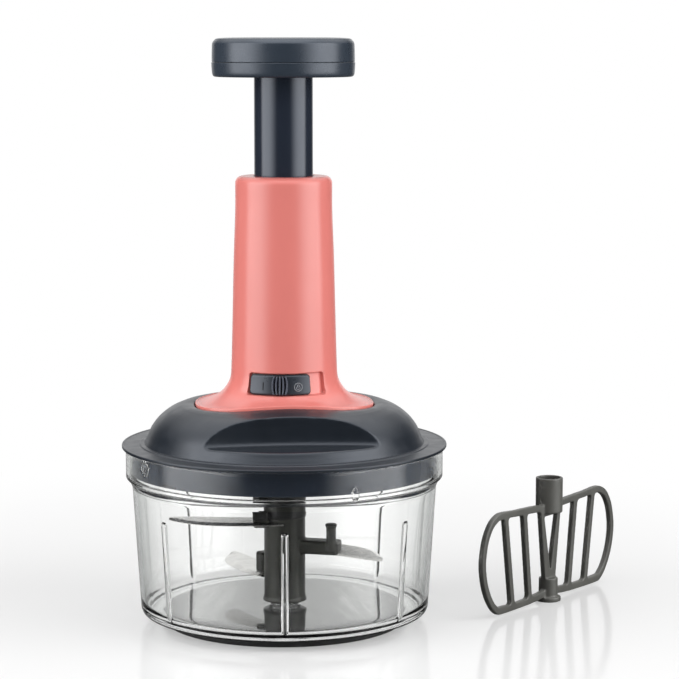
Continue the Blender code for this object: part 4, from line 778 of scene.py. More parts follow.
def make_bowl():
    """The clear bowl: band, neck, ribs, bayonet ramps, index mark and the boss of the pivot pin."""
    heel_inner = HEEL_RADIUS - BOWL_WALL
    corner_foot = HEEL_RADIUS - 0.41
    floor = soften([(0, 9), (3.3, 9), (3.3, 16, 0.3), (6, 16, 0.6), (7.2, BOWL_FLOOR, 1.0),
                    (heel_inner - 0.2, BOWL_FLOOR, 5.0), (wall_radius(20), 20)], closed=False)
    wall = [(wall_radius(height), height) for height in (20, RIB_TOP - 4, RIB_TOP + 1, NECK_HEIGHT - 1)]
    inner_band = soften([(wall_radius(NECK_HEIGHT - 1), NECK_HEIGHT - 1),
                         (wall_radius(LEDGE_HEIGHT), LEDGE_HEIGHT - 0.5, 0.5),
                         (BAND_INNER, LEDGE_HEIGHT, 0.4), (BAND_INNER, LEDGE_HEIGHT + 1)], closed=False)
    rim = soften([(BAND_INNER, RIM_HEIGHT - 1), (BAND_INNER, RIM_HEIGHT, 0.4), (BAND_RADIUS, RIM_HEIGHT, 1.2),
                  (BAND_RADIUS, RIM_HEIGHT - 2.5)], closed=False)
    shoulder = soften([(BAND_RADIUS, BAND_LOW + 1.3), (BAND_RADIUS, BAND_LOW + 0.6, 0.5),
                       (BAND_INNER, BAND_LOW - 1.2, 0.4), (NECK_RADIUS, NECK_HEIGHT, 1.0), (75.6, 45)],
                      closed=False)
    heel = soften([(75.0, 35), (corner_foot, BOWL_BOTTOM, 6.5), (66, BOWL_BOTTOM)], closed=False, steps=9)
    outline = split(floor, 2.2, closed=False) + split(wall, 0.9, closed=False)[1:] + inner_band[1:]
    outline += split([inner_band[-1], rim[0]], 0.35, closed=False)[1:] + rim[1:]
    outline += split([rim[-1], shoulder[0]], 0.3, closed=False)[1:] + split(shoulder[1:], 4, closed=False)
    outline += heel + [(40, BOWL_BOTTOM), (0, BOWL_BOTTOM)]
    azimuths = even(FACETS)
    reaches = [(centre, 1.8) for centre in RIB_AZIMUTHS] + [(centre, 3.45) for centre in RAMP_AZIMUTHS]
    for centre, half in [*reaches, (MARK_AZIMUTH, 1.6)]:
        azimuths = finer(azimuths, centre, half, 0.15)
    mesh = turned_mesh("bowl", outline, azimuths, bowl_relief, closed=False)
    add("bowl_shell", mesh, CLEAR, "bowl", ["bowl"])


TOWER_SIDE = flowing([(24.35, 223.0), (24.4, 209.3), (25.25, 185.8), (26.0, 155.45), (26.5, 136.85),
                      (26.8, 128)], 6)
FLARE_HEIGHT = 128
FLARE_AT_SIDE = ((0.023, 0.811), (0.076, 0.659), (0.164, 0.5), (0.269, 0.36), (0.433, 0.22), (0.684, 0.079),
                 (0.889, 0.012), (1, 0))
FLARE_IN_FRONT = ((0.03, 0.765), (0.07, 0.577), (0.17, 0.382), (0.31, 0.247), (0.53, 0.141), (0.757, 0.066),
                  (0.9, 0.029), (1, 0))


def frontness(azimuth):
    """Give 1 at the front and the back, and 0 at the sides."""
    return step_between(abs(math.cos(math.radians(azimuth))), 0.3, 0.92)


def flare(azimuth):
    """Give the tower's outline along an azimuth from its plain side out to the foot's edge."""
    start = Vector((TOWER_SIDE[-1][0], FLARE_HEIGHT))
    end = Vector((foot_radius(azimuth) - 1.3, foot_height(azimuth) - 0.1))
    front = frontness(azimuth)
    stations = [(26.66, 132), tuple(start)]
    for (side_out, side_up), (front_out, front_up) in zip(FLARE_AT_SIDE, FLARE_IN_FRONT):
        out = side_out + (front_out - side_out) * front
        up = side_up + (front_up - side_up) * front
        stations.append((start.x + (end.x - start.x) * out, end.y + (start.y - end.y) * up))
    return flowing(stations, 12)[12:]


def foot_height(azimuth):
    """Give the height of the foot's upper edge, which rises over the finger recesses."""
    angle = math.radians(azimuth)
    return FOOT_TIP + FOOT_RISE * abs(math.cos(angle)) ** 3


def foot_radius(azimuth, grown=0.0):
    """Give the radius of the tower foot's oval outline along an azimuth."""
    angle = math.radians(azimuth)
    across = abs(math.sin(angle)) / (FOOT_WIDTH + grown)
    along = abs(math.cos(angle)) / (FOOT_DEPTH + grown)
    return (across ** FOOT_EXPONENT + along ** FOOT_EXPONENT) ** (-1 / FOOT_EXPONENT)


def scoop_mesh(side):
    """Make the block that a finger recess is cut with: a hollow wall that curves out into a ledge."""
    section = flowing([(48.3, SCOOP_LOW + 5.0), (48.5, SCOOP_LOW + 2.4), (49.2, SCOOP_LOW + 0.8),
                       (50.8, SCOOP_LOW + 0.1), (53, SCOOP_LOW)], 4)
    section = [(50.8, SCOOP_LOW + 20.8), (49.2, SCOOP_LOW + 14.6), (48.5, SCOOP_LOW + 10)] + section
    section += [(84, SCOOP_LOW), (84, SCOOP_LOW + 20.8)]
    shape = bmesh.new()
    rows = []
    for station in range(2 * SCOOP_STEPS + 1):
        x = SCOOP_HALF * (station / SCOOP_STEPS - 1)
        bow = x * x / (2 * SCOOP_RADIUS)
        rows.append([shape.verts.new((x * side, -(out + bow) * side, height)) for out, height in section])
    return joined(shape, rows, "scoop")


DOME_SIDE = flowing([(71.9, 91.2), (71.0, 91.8), (70.4, 93.2), (69.4, 95.0), (67.3, 99.7), (63.45, 104.6),
                     (58.1, 108.7), (52.6, 111.1)], 4)


def dome_column(azimuth):
    """Give the dome's outline along an azimuth, from the floor of the foot's seat out to the brim."""
    rim = foot_radius(azimuth) + SEAT_GAP
    height = foot_height(azimuth) - FOOT_LIP + 0.5 * (1 - frontness(azimuth))
    top = DOME_SIDE[-1]
    middle = ((top[0] + rim + 1.2) / 2, (top[1] + height) / 2 + 0.35)
    crown = flowing([(rim + 0.9, height), middle, top], 4)
    return [(LID_BORE, SEAT_HEIGHT), (rim, SEAT_HEIGHT), (rim, height - 0.8), (rim + 0.25, height - 0.25),
            *crown[:-1], *reversed(DOME_SIDE), (71.9, BRIM_LOW + 0.5), (LID_BORE, BRIM_LOW + 0.5)]


def make_lid():
    """The lid: dome with finger recesses, brim with its raised step, skirt, lugs and sealing ring."""
    dome = turned_mesh("dome", dome_column, even(180))
    dome = melted(shaped(dome, scoop_mesh(1), scoop_mesh(-1)), 0.65)
    add_dark("lid_dome", dome, LID, "lid", ["lid_shell"])

    step = DOME_RADIUS + 2.6
    brim = [(66, BRIM_LOW), (66, DOME_FOOT), (step, DOME_FOOT, 0.3), (step + 0.5, DOME_FOOT - 0.5, 0.2),
            (BRIM_RADIUS - 1.4, DOME_FOOT - 0.8, 0.3), (BRIM_RADIUS - 1.1, DOME_FOOT - 0.6, 0.2),
            (BRIM_RADIUS, DOME_FOOT - 0.6, 0.6), (BRIM_RADIUS, BRIM_LOW, 0.4), (GROOVE_OUTER, BRIM_LOW, 0.1),
            (GROOVE_OUTER, BRIM_LOW + GROOVE_DEPTH), (GROOVE_INNER, BRIM_LOW + GROOVE_DEPTH),
            (GROOVE_INNER, BRIM_LOW, 0.1)]
    add_dark("lid_brim", turned_mesh("brim", brim), LID, "lid", ["lid_shell"])
    skirt = [(SKIRT_RADIUS, BRIM_LOW + 0.5), (SKIRT_RADIUS, SKIRT_LOW, 0.5), (SKIRT_INNER, SKIRT_LOW, 0.5),
             (SKIRT_INNER, BRIM_LOW + 0.5)]
    # The skirt's lighter, bluer plastic is painted light on the part seen through the band
    add_dark("lid_skirt", turned_mesh("skirt", skirt), LIT_SKIRT, "lid")
    for number, start in enumerate(LUG_START, 1):
        lug = sector_mesh("lug", SKIRT_RADIUS - 0.6, SKIRT_RADIUS + 0.8, start, start + LUG_SPAN, LUG_LOW,
                          LUG_HIGH, 0.25)
        add_dark(f"lid_lug_{number}", lug, LID, "lid")
    ring = [(78.6, BRIM_LOW + 1.05, 0.2), (79.97, BRIM_LOW + 1.05, 0.2), (79.97, BRIM_LOW - 0.2, 0.4),
            (78.6, BRIM_LOW - 0.2, 0.4)]
    add("sealing_ring", turned_mesh("seal", ring), RUBBER, "seal", ["lid_gasket"], LID_TURN)


def make_cover():
    """The drive cover that closes the lid from below, with stiffening rings, screw sinks and its neck."""
    cover = [(COVER_RADIUS, COVER_TOP, 0.3), (COVER_RADIUS, COVER_LOW, 0.5), (66, COVER_LOW, 0.3),
             (65.4, COVER_STEP, 0.2), (58, COVER_STEP, 0.2), (57.4, COVER_LOW, 0.3), (13.9, COVER_LOW, 1.8),
             (11.7, COVER_NECK, 0.6), (9.25, COVER_NECK, 0.4), (9.25, COVER_TOP, 0.2)]
    mesh = turned_mesh("cover", cover)
    places = [polar(SCREW_CIRCLE, azimuth)[:2] for azimuth in COVER_SCREWS]
    sinks = [rod("sink", 1.8, 80, 90, x, y) for x, y in places]
    add_dark("cover_disc", shaped(mesh, *sinks, sharp=35), LID, "lid", ["drive_cover"])
    for number, (x, y) in enumerate(places, 1):
        head = [(0, 95), (1.5, 95, 0.5), (1.5, 82.9, 0.2), (2.8, 82.9, 0.1), (2.8, 81.7, 0.9), (0, 81.1)]
        screw = turned_mesh("screw", head, even(32), closed=False)
        cross = [block_mesh("bar", (-1.4, -0.25, 80), (1.4, 0.25, 81.9), 0.05),
                 block_mesh("bar", (-0.25, -1.4, 80), (0.25, 1.4, 81.9), 0.05)]
        screw = shaped(screw, *cross, sharp=35)
        screw.transform(shift(x, y))
        add(f"cover_screw_head_{number}", screw, STEEL, "lid", [f"cover_screw_{number}"], LID_TURN)


def tower_column(azimuth):
    """Give the tower's outline along an azimuth: roof, side, spreading foot, lip and the bore inside."""
    turns = [math.radians(turn) for turn in range(0, 91, 9)]
    corner = [(ROOF_EDGE + ROOF_CORNER * math.sin(turn), ROOF_BEND + ROOF_CORNER * math.cos(turn))
              for turn in turns]
    column = [(TUBE_HOLE, 223.5), (TUBE_HOLE, 226.0), (15.2, 226.4), (15.6, TOWER_TOP), (18, TOWER_TOP),
              *corner]
    column += split(TOWER_SIDE[1:-6], 6, closed=False)
    column += split([TOWER_SIDE[-6], TOWER_SIDE[-1]], 0.25, closed=False) + flare(azimuth)[1:]
    foot = foot_radius(azimuth)
    edge = foot_height(azimuth)
    column += [(foot - 1.1, edge - 0.02), (foot - 0.9, edge + 0.12), (foot - 0.65, edge + 0.16),
               (foot - 0.35, edge + 0.08), (foot - 0.1, edge - 0.14), (foot, edge - 0.5), (foot, 108.4),
               (foot - 0.4, TOWER_LOW), (LOCK_BORE, TOWER_LOW), (LOCK_BORE, 128.9), (TOWER_BORE, 131),
               (TOWER_BORE, 223.0)]
    return column


def flared(radius, height):
    """Give how far the travel lock's pocket and plate lean out towards their lower edge."""
    return radius + 1.3 * min(1, max(0, (POCKET_HIGH - height) / (POCKET_HIGH - POCKET_LOW))) ** 1.6


def pocket_relief(azimuth, radius, height):
    """Give how deep the travel lock's pocket lies in the tower's side."""
    if radius < 24.6 or not 117.5 < height < 132:
        return 0
    centre = (POCKET_START + POCKET_END) / 2
    half = math.radians(POCKET_END - POCKET_START) / 2 * radius
    aside = math.radians(turned_off(azimuth, centre)) * radius
    above = height - (POCKET_LOW + POCKET_HIGH) / 2
    outside = outside_box(aside, above, half, (POCKET_HIGH - POCKET_LOW) / 2, 1.5)
    return (flared(POCKET_FLOOR, height) - radius) * (1 - step_between(outside, -0.22, 0.12))


def make_tower():
    """The tower, one moulded shell from its roof down to the oval foot, with the lock's pocket and slot."""
    azimuths = even(FACETS)
    for edge in (POCKET_START, POCKET_END):
        azimuths = finer(azimuths, edge, 3, 0.25)
    mesh = turned_mesh("tower_shell", tower_column, azimuths, pocket_relief, sharp=60)
    slot = sector_mesh("slot", 20, 28, *STEM_SLOT, STEM_LOW - 0.5, STEM_HIGH + 0.5)
    mesh = shaped(mesh, slot, sharp=60)
    add("tower_shell", mesh, CORAL, "lid", ["tower_housing"], LID_TURN)


def bent_block(inner, outer, start, end, low, high, corner, soft, swell=0.0, lean=0.0):
    """Make a block bent round the tower, with round corners and softened edges.

    In the middle of its height it can be wider, by a share, or shifted sideways, in millimetres.
    """
    centre = (start + end) / 2
    half_length = math.radians(end - start) / 2 * outer
    half_width = (high - low) / 2
    turns = [math.radians(turn) for turn in range(0, 91, 10)]
    ends = [(half_length - corner * (1 - math.cos(turn)), corner * (1 - math.sin(turn))) for turn in turns]
    straight = split([(half_length - corner, 0), (corner - half_length, 0)], 0.5, closed=False)[1:-1]
    stations = ends + straight + [(-x, cut) for x, cut in reversed(ends)]
    shares = [math.sin(math.radians(turn)) for turn in range(-90, 91, 9)]
    shape = bmesh.new()
    columns = []
    for along, cut in stations:
        column = []
        for share in shares + [1, -1]:
            up = (half_width - cut) * share
            edge = min(1, -outside_box(along, up, half_length, half_width, corner) / soft)
            radius = outer - soft * (1 - math.sqrt(max(0, 1 - (1 - edge) ** 2)))
            if len(column) >= len(shares):
                radius = inner
            belly = 1 - (up / half_width) ** 2
            azimuth = centre + math.degrees((along * (1 + swell * belly) + lean * belly) / outer)
            height = (low + high) / 2 + up
            column.append(shape.verts.new(polar(flared(radius, height), azimuth, height)))
        columns.append(column)
    return joined(shape, columns, "bent_block", 60)


def lock_spot(azimuth, height):
    """Give a place just above the thumb plate's face, in metres."""
    return polar(flared(PLATE_OUTER + SYMBOL_LIFT, height), azimuth, height) * MM


def icon(name, lines, azimuth, height, material):
    """Add a raised line symbol on the thumb plate; lines are in millimetres across and up."""
    turn = math.degrees(1 / PLATE_OUTER)
    start = azimuth + LID_TURN
    places = [[lock_spot(start + across * turn, height + up) for across, up in line] for line in lines]
    curve = line_curve(name, places, "3D")
    curve.bevel_depth = SYMBOL_WIRE * MM
    curve.bevel_resolution = 2
    curve.use_fill_caps = True
    curve.materials.append(material)
    item = placed(name, curve)
    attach(item, "lock")


def ring_line(radius, up):
    """Give a circle as a line."""
    turns = [math.radians(turn) for turn in range(0, 361, 24)]
    return [(radius * math.cos(turn), up + radius * math.sin(turn)) for turn in turns]


def padlock():
    """Give a padlock in a ring, as lines."""
    body = [(-0.8, -1.0), (0.8, -1.0), (0.8, 0.1), (-0.8, 0.1), (-0.8, -1.0)]
    shackle = [(-0.5, 0.1)] + [(-0.5 * math.cos(math.radians(turn)), 0.6 + 0.5 * math.sin(math.radians(turn)))
                               for turn in range(0, 181, 30)] + [(0.5, 0.1)]
    return [body, shackle, ring_line(2.0, 0)]


def make_lock():
    """The travel lock: curved thumb plate with its grip and lock symbols, stem and inner ring."""
    plate = bent_block(PLATE_INNER, PLATE_OUTER, PLATE_START, PLATE_END, PLATE_LOW, PLATE_HIGH, 2.0, 0.7)
    add_dark("lock_plate", plate, LOCK, "lock", ["lock_slider"])
    # A near-black rim just under the thumb plate's edges: painted shadow in the gap round the plate
    shadow_rim = bent_block(PLATE_INNER, PLATE_OUTER - 0.9, PLATE_START - 0.9, PLATE_END + 0.7, PLATE_LOW - 0.35,
                        PLATE_HIGH + 0.45, 2.0, 0.2)
    add_dark("lock_shadow_rim", shadow_rim, SHADE_AND_PRINT_BLACK, "lock")
    centre = (PLATE_START + PLATE_END) / 2 + 0.5
    low = PLATE_LOW + 0.2
    high = PLATE_HIGH - 0.2
    # The grip under the fins is near-black, so the gaps between the fins show painted shade
    grip = bent_block(PLATE_INNER, PLATE_OUTER + 0.35, centre - 6.3, centre + 6.3, low, high, 0.8, 0.3, 0.2)
    add_dark("lock_grip", grip, SHADE_AND_PRINT_BLACK, "lock")
    # The fins' lighter plastic paints the highlight along the ridges
    for number in range(5):
        middle = centre + (number - 2) * 2.75
        bulge = 0.45 * (number - 2)
        fin = bent_block(PLATE_INNER, PLATE_OUTER + 1.9, middle - 0.85, middle + 0.85, low, high, 0.4, 0.42,
                         0, bulge)
        add_dark(f"lock_fin_{number + 1}", fin, FIN_HIGHLIGHT, "lock")
    ring = [(18.8, RING_HIGH, 0.4), (22.9, RING_HIGH, 0.4), (22.9, RING_LOW, 0.4), (18.8, RING_LOW, 0.4)]
    add_dark("lock_ring", turned_mesh("ring", ring), LOCK, "lock")
    stem = sector_mesh("stem", 22, 25.6, -20, 0, STEM_LOW, STEM_HIGH)
    add_dark("lock_stem", stem, LOCK, "lock")
    icon("open_symbol", [[(0, -1.9), (0, 1.9)]], -26.4, 123.7, SHADE_AND_PRINT_BLACK)
    icon("closed_symbol", padlock(), 10.6, 123.3, MARKS)


def make_plunger():
    """The plunger tube with its stop collar and locking legs, and the press knob's two halves."""
    tube = [(TUBE_RADIUS, TUBE_TOP), (TUBE_RADIUS, COLLAR_TOP), (20.5, COLLAR_TOP, 0.4),
            (20.5, TUBE_LOW, 0.4), (TUBE_BORE, TUBE_LOW, 0.4), (TUBE_BORE, TUBE_TOP)]
    add_dark("press_tube", turned_mesh("tube", tube), SLATE, "plunger", ["plunger_tube"])
    for number, azimuth in enumerate((90, 270), 1):
        leg = sector_mesh("leg", TUBE_BORE + 0.05, TUBE_RADIUS - 0.05, azimuth - 20, azimuth + 20, LEG_LOW,
                          LEG_HIGH)
        add_dark(f"tube_leg_{number}", leg, SLATE, "plunger")
    rim = flowing([(35.9, KNOB_SEAM - 0.3), (35.8, 280.9), (35.6, 278.2), (35.3, 276.9), (34.7, 276.15),
                   (33.8, KNOB_LOW)], 5)
    base = [(35.72, KNOB_SEAM - 0.12), *rim, (17.5, KNOB_LOW), (15.3, KNOB_LOW + 0.3),
            (TUBE_HOLE, KNOB_LOW + 0.8), (TUBE_HOLE, KNOB_SEAM - 0.12)]
    add_dark("knob_lower", turned_mesh("base", base), KNOB, "plunger", ["knob_base"])
    crown = flowing([(0, KNOB_TOP), (12.0, KNOB_TOP), (25.1, 295.3), (32.7, 294.9), (34.4, 293.9),
                     (35.2, 292.9), (35.5, 291.8), (35.66, 287), (35.7, KNOB_SEAM + 0.3)], 5)
    cap = [*crown, (35.5, KNOB_SEAM + 0.08), (33.2, KNOB_SEAM + 0.08), (33.2, KNOB_LOW + 3),
           (0, KNOB_LOW + 3)]
    add_dark("knob_upper", turned_mesh("cap", cap, closed=False), KNOB, "plunger", ["knob_cap"])


def make_spring():
    """The return spring, which the knob presses together."""
    lowest, highest = (Vector(corner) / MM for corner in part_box("return_spring"))
    radius = (highest.x - lowest.x) / 2 - SPRING_WIRE
    centre = (lowest + highest) / 2
    start = lowest.z + SPRING_WIRE
    rise = highest.z - lowest.z - 2 * SPRING_WIRE
    shape = bmesh.new()
    rings = []
    count = SPRING_TURNS * SPRING_STEPS
    for step in range(count + 1):
        out = polar(1, 360 * SPRING_TURNS * step / count)
        middle = Vector((centre.x, centre.y, start + rise * step / count)) + out * radius
        ring = []
        for turn in range(0, 360, 36):
            angle = math.radians(turn)
            spot = middle + SPRING_WIRE * (math.cos(angle) * out + math.sin(angle) * Vector((0, 0, 1)))
            ring.append(shape.verts.new(spot))
        rings.append(ring)
    spring = add("spring_coil", joined(shape, rings, "spring"), STEEL, "lid", ["return_spring"])
    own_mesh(spring)


def blade_outline(root, reach, width):
    """Give a blade's curved leading edge out to the tip, and its trailing edge back."""
    length = reach - root
    lead = flowing([(root + length * along, width * across) for along, across in BLADE_LEAD], 5)
    tail = flowing([(root + length * along, width * across) for along, across in BLADE_TAIL], 5)
    return lead, tail


def blade_mesh(root, reach, width):
    """Make a thin blade with a ground bevel along its leading edge."""
    lead, tail = blade_outline(root, reach, width)
    ground = []
    for index, point in enumerate(lead):
        before = Vector(lead[max(0, index - 1)])
        after = Vector(lead[min(len(lead) - 1, index + 1)])
        inward = Vector(((after - before).y, -(after - before).x)).normalized()
        ground.append(tuple(Vector(point) + inward * 2.6))
    half = BLADE_THICKNESS / 2
    levels = [(lead + tail, -half), (lead + tail, -half + 0.25), (ground + tail, half)]
    shape = bmesh.new()
    rings = [[shape.verts.new((x, y, height)) for x, y in outline] for outline, height in levels]
    return joined(shape, rings, "blade", 20, -1)


def make_blades():
    """The blade unit: hub with its holders, the post on the middle arm, and three ground blades."""
    hub = [(10.5, HUB_TOP, 0.8), (10.5, 12.4, 0.5), (11.2, 11.4, 0.4), (11.2, HUB_LOW, 0.4), (8.1, HUB_LOW),
           (8.1, 16.3), (3.4, 16.6), (3.4, 37.5), (5.6, 38), (5.6, 62.9), (7.8, 62.9), (7.8, HUB_TOP, 0.5)]
    parts = [
        outward(block_mesh("upper_holder", (8.6, -4.6, 48.9), (16, 10.2, 63.4), 1.2), 270),
        outward(block_mesh("middle_arm", (8.6, -5, 34.9), (29, 5, 41.9), 1.2), 74.7),
        outward(block_mesh("lower_holder", (8.6, -4.6, 20.2), (16, 8.4, 33.2), 1.2), 210),
        outward(rod("peg", 2.5, 37, 51.2, 25.6, 0), 66.5),
        outward(rod("peg_head", 3.0, 49.8, 51.3, 25.6, 0), 66.5),
    ]
    body = melted(shaped(turned_mesh("hub", hub, even(96)), *parts, operation="UNION"), 0.5)
    add("hub_body", body, HUB, "blades", ["blade_hub"])
    # The near-black collar, clamp block and web over the hub's top are a dark sheath: painted shade that the
    # lid casts on the hub there
    collar = turned_mesh("collar", [(10.9, 66, 0.4), (10.9, 53.4, 0.5), (9, 53.4), (9, 66)], even(96))
    clamp = outward(block_mesh("clamp", (8.6, -4.6, 53.0), (16.2, 11.2, 63.6), 1.0), 270)
    web = outward(block_mesh("web", (9, -2, 62), (13, 7, 69), 1.0), 270)
    collar = melted(shaped(collar, clamp, web, operation="UNION"), 0.5)
    add("hub_shade_collar", collar, SHADE_AND_PRINT_BLACK, "blades")
    blades = {
        "upper": (0.5, 59.8, 21.9, 51.7, 270),
        "middle": (21.5, 52.0, 21.9, 36.4, 74.7),
        "lower": (7.0, 59.8, 21.9, 23.0, 210),
    }
    for name, (root, reach, width, height, azimuth) in blades.items():
        mesh = blade_mesh(root, reach, width)
        if name == "upper":
            mesh = shaped(mesh, rod("bore", 6.2, -3, 3), sharp=20)
        if name == "middle":
            mesh = shaped(mesh, rod("hole", 1.4, -3, 3, 40.5, 2.6), sharp=20)
            mesh.transform(shift(root) @ spin(MIDDLE_DROOP, "Y") @ shift(-root))
        outward(mesh, azimuth, height, -(MIDDLE_TILT if name == "middle" else BLADE_TILT))
        add(f"{name}_blade", mesh, BLADE, "blades", [f"blade_{name}"])


def paddle_point(across, up):
    """Give a point of the paddle's frame from its shares."""
    return PADDLE_SPAN * across, PADDLE_LOW + PADDLE_RISE * up


def edge_height(x, upper):
    """Give the height of the frame's upper or lower edge above a place."""
    crown = max(range(len(PADDLE_OUTLINE)), key=lambda index: PADDLE_OUTLINE[index][0])
    run = PADDLE_OUTLINE[:crown + 1] if upper else PADDLE_OUTLINE[crown:]
    points = sorted(paddle_point(across, up) for across, up in run)
    for (near, low), (far, high) in zip(points, points[1:]):
        if near <= x <= far:
            return low + (high - low) * (x - near) / (far - near)
    return points[0][1]


def paddle_window(inner, outer, side):
    """Give one window of the frame between two slanting bars."""
    half = PADDLE_BAR / 2
    corners = [(inner[0] + half, True), (outer[0] - half, True), (outer[1] - half, False),
               (inner[1] + half, False)]
    outline = []
    for x, upper in corners:
        height = edge_height(x, upper) + (-PADDLE_BAR if upper else PADDLE_BAR)
        outline.append((x * side, height, PADDLE_CORNER))
    return soften(outline)


def paddle_end_window(inner, side):
    """Give the outermost window, which follows the frame's rounded end."""
    near_top = inner[0] + PADDLE_BAR / 2
    near_low = inner[1] + PADDLE_BAR / 2
    centre = paddle_point(0.6, 0.5)
    run = []
    for across, up in PADDLE_OUTLINE:
        x, z = paddle_point(across, up)
        share = 1 - PADDLE_BAR / math.dist((x, z), centre)
        x = centre[0] + (x - centre[0]) * share
        z = centre[1] + (z - centre[1]) * share
        if x > max(near_top, near_low) + PADDLE_BAR / 2 and across > 0.7:
            run.append((x, z))
    curve = flowing(run, 4)
    corners = [(near_top, edge_height(near_top, True) - PADDLE_BAR, PADDLE_CORNER), *curve,
               (near_low, edge_height(near_low, False) + PADDLE_BAR, PADDLE_CORNER)]
    return [(x * side, z) for x, z in soften(corners)]


def make_paddle():
    """The mixing paddle: two barred wings with rounded edges, the socket on top and the foot below."""
    right = flowing([paddle_point(across, up) for across, up in PADDLE_OUTLINE], 4)
    outlines = [right + [(-x, z) for x, z in reversed(right)]]
    vee = [PADDLE_SPAN * share for share in PADDLE_VEE]
    bars = [tuple(PADDLE_SPAN * share for share in bar) for bar in PADDLE_BARS]
    for side in (1, -1):
        edges = [tuple(vee), *bars]
        for inner, outer in zip(edges, edges[1:]):
            outlines.append(paddle_window(inner, outer, side))
        outlines.append(paddle_end_window(bars[-1], side))
    half = PADDLE_BAR / 2
    outlines.append(soften([(vee[0] - half, SOCKET_LOW - half, 0.8), (half - vee[0], SOCKET_LOW - half, 0.8),
                            (0, 15.8, 0.8)]))
    frame_mesh = filled_mesh("paddle", outlines, -PADDLE_PLATE / 2, PADDLE_PLATE / 2)
    frame_mesh.transform(spin(90, "X"))
    socket = rod("socket", 7.1, SOCKET_LOW, PADDLE_TOP, facets=72)
    foot = turned_mesh("foot", [(0, 12.4), (5.0, 12.4), (5.1, 2.4), (6.7, 2.4), (6.7, 0), (0, 0)], even(72),
                       closed=False)
    body = shaped(frame_mesh, socket, foot, operation="UNION")
    body = shaped(body, rod("bore", 5.8, SOCKET_LOW + 1.7, PADDLE_TOP + 5))
    body = melted(body, 0.42)
    body.transform(shift(*PADDLE_PLACE) @ spin(PADDLE_ANGLE))
    add("paddle_body", body, PADDLE, "paddle", ["mixing_paddle"])


def finish_inner_nodes():
    """Give the nodes that keep their own shape their materials."""
    looks = {"pivot_pin": STEEL, "plunger_guide": NYLON, "spring_guide": NYLON, "drive_nut": NYLON,
             "rod_holder": NYLON, "twisted_drive_rod": STEEL, "clutch_spring": STEEL,
             "output_coupling": HUB, "knob_screw": STEEL}
    looks.update({f"tower_screw_{number}": STEEL for number in (1, 2, 3, 4)})
    for name, material in looks.items():
        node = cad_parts[name]
        node.data.materials.clear()
        node.data.materials.append(material)


def table_material():
    """White polished table that fades into the backdrop and throws little light back up."""
    material, tree = new_material("table_top")
    rays = node(tree, "LightPath")
    place = node(tree, "TexCoord")["Object"]
    parts = node(tree, "SeparateXYZ", {"Vector": place})
    under = level_along(tree, parts["Y"], *UNDER_SPAN, 0, 1)
    aside = combine(tree, "ABSOLUTE", parts["X"])
    beside = level_along(tree, aside, *ASIDE_SPAN, 1, TABLE_BESIDE)
    behind = combine(tree, "MULTIPLY", rays["Is Transmission Ray"], under)
    through = combine(tree, "MULTIPLY", behind, beside)
    straight = combine(tree, "MAXIMUM", rays["Is Camera Ray"], through)
    white = tint(tree, object_noise(tree, 0.4, 2), (FLOOR_LIGHT - 0.01,) * 3, (FLOOR_LIGHT,) * 3)
    mixed = {"A": (FLOOR_DARK, FLOOR_DARK, FLOOR_DARK, 1), "B": white, "Factor": straight}
    colour = node(tree, "Mix", mixed, data_type="RGBA")["Result"]
    shader = tree.nodes["Principled BSDF"]
    feed(tree, shader, {"Base Color": colour, "Roughness": 0.12, "IOR": 1.45})
    away = node(tree, "VectorMath", {0: place}, operation="LENGTH")["Value"]
    fade = level_along(tree, away, *ASIDE_SPAN, FLOOR_GLOW, 1)
    seen = combine(tree, "MULTIPLY", straight, fade)
    backdrop = node(tree, "Emission")["Emission"]
    blend = node(tree, "MixShader", {"Fac": seen, 1: shader.outputs["BSDF"], 2: backdrop})["Shader"]
    feed(tree, tree.nodes["Material Output"], {"Surface": blend})
    return material


def make_floor():
    """A wide white polished table top."""
    shape = bmesh.new()
    corners = [(-TABLE_SIDE, TABLE_FRONT), (TABLE_SIDE, TABLE_FRONT), (TABLE_SIDE, TABLE_BACK),
               (-TABLE_SIDE, TABLE_BACK)]
    shape.faces.new([shape.verts.new((x, y, 0)) for x, y in corners])
    mesh = finish_mesh(shape, "table_top")
    floor = placed("table_top", mesh)
    mesh.materials.append(table_material())


def softbox(name, azimuth, place, size, radiance):
    """Add a soft box that faces the object, at a distance and a height; radiance 1 is white."""
    width, tall = size
    lamp = bpy.data.lights.new(name, "AREA")
    lamp.shape = "RECTANGLE"
    lamp.size = width
    lamp.size_y = tall
    lamp.energy = radiance * math.pi * width * tall
    item = placed(name, lamp)
    spot = polar(place[0], azimuth, place[1])
    item.location = spot
    item.rotation_euler = (Vector(LAMP_AIM) - spot).to_track_quat("-Z", "Y").to_euler()
    return lamp


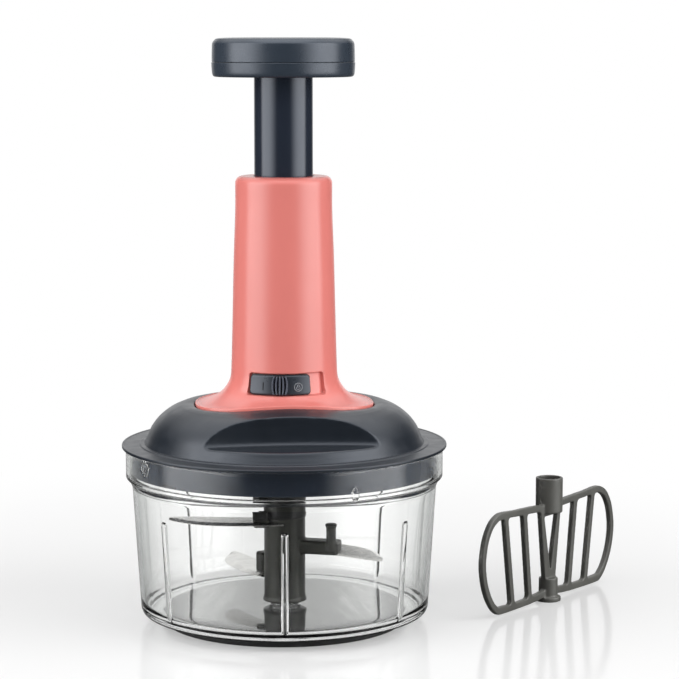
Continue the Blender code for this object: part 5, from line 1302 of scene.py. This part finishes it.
def fade_towards_front(lamp, front):
    """Let a soft box fade gently towards its front edge and quickly at its back edge.

    front is 1 where the front edge is on the lamp's own +X side, and 0 where it is on the other.
    """
    lamp.use_nodes = True
    tree = lamp.node_tree
    across = node(tree, "SeparateXYZ", {"Vector": node(tree, "NewGeometry")["Parametric"]})["X"]
    inward = 1 - 2 * front
    gentle = level_along(tree, across, front, front + inward * FRONT_FADE, 0, 1)
    back = 1 - front + inward * BACK_DARK
    quick = level_along(tree, across, back, back - inward * BACK_FADE, 0, 1)
    feed(tree, tree.nodes["Emission"], {"Strength": combine(tree, "MULTIPLY", gentle, quick)})


def make_world():
    """White for the camera and behind glass, dark round the gloss, and a dim even light for the rest."""
    world = bpy.data.worlds.new("studio")
    scene.world = world
    world.use_nodes = True
    tree = world.node_tree
    direction = node(tree, "SeparateXYZ", {"Vector": node(tree, "TexCoord")["Generated"]})
    wall = level_along(tree, direction["Y"], *WALL_SPAN, FRONT_LIGHT, BACK_LIGHT)
    ceiling = level_along(tree, direction["Z"], *CEILING_SPAN, FRONT_LIGHT, CEILING_LIGHT)
    glossy = combine(tree, "MAXIMUM", wall, ceiling)
    behind = level_along(tree, direction["Y"], *GLASS_SPAN, FRONT_LIGHT, BACK_LIGHT)
    rays = node(tree, "LightPath")
    level = FILL_LIGHT
    for ray, value in (("Glossy", glossy), ("Transmission", behind), ("Camera", BACK_LIGHT)):
        level = node(tree, "Mix", {"Factor": rays[f"Is {ray} Ray"], "A": level, "B": value})["Result"]
    feed(tree, tree.nodes["Background"], {"Strength": level, "Color": (1, 1, 1, 1)})


def make_camera():
    """The photograph's view."""
    data = bpy.data.cameras.new("camera")
    data.lens = LENS
    data.sensor_width = SENSOR
    data.clip_end = CLIP_END
    camera = placed("camera", data)
    camera.location = CAMERA_PLACE
    camera.rotation_euler = (math.radians(CAMERA_PITCH), 0, math.radians(CAMERA_YAW))
    scene.camera = camera


make_base()
make_bowl()
make_lid()
make_cover()
make_tower()
make_lock()
make_plunger()
make_spring()
make_blades()
make_paddle()
finish_inner_nodes()
make_floor()
fade_towards_front(softbox("left_softbox", -SIDE_AZIMUTH, SIDE_PLACE, SIDE_SIZE, SIDE_LIGHT), 1)
fade_towards_front(softbox("right_softbox", SIDE_AZIMUTH, SIDE_PLACE, SIDE_SIZE, SIDE_LIGHT), 0)
softbox("top_softbox", 0, TOP_PLACE, TOP_SIZE, TOP_LIGHT)
make_world()
make_camera()
scene.view_settings.view_transform = "Standard"

bpy.context.view_layer.update()
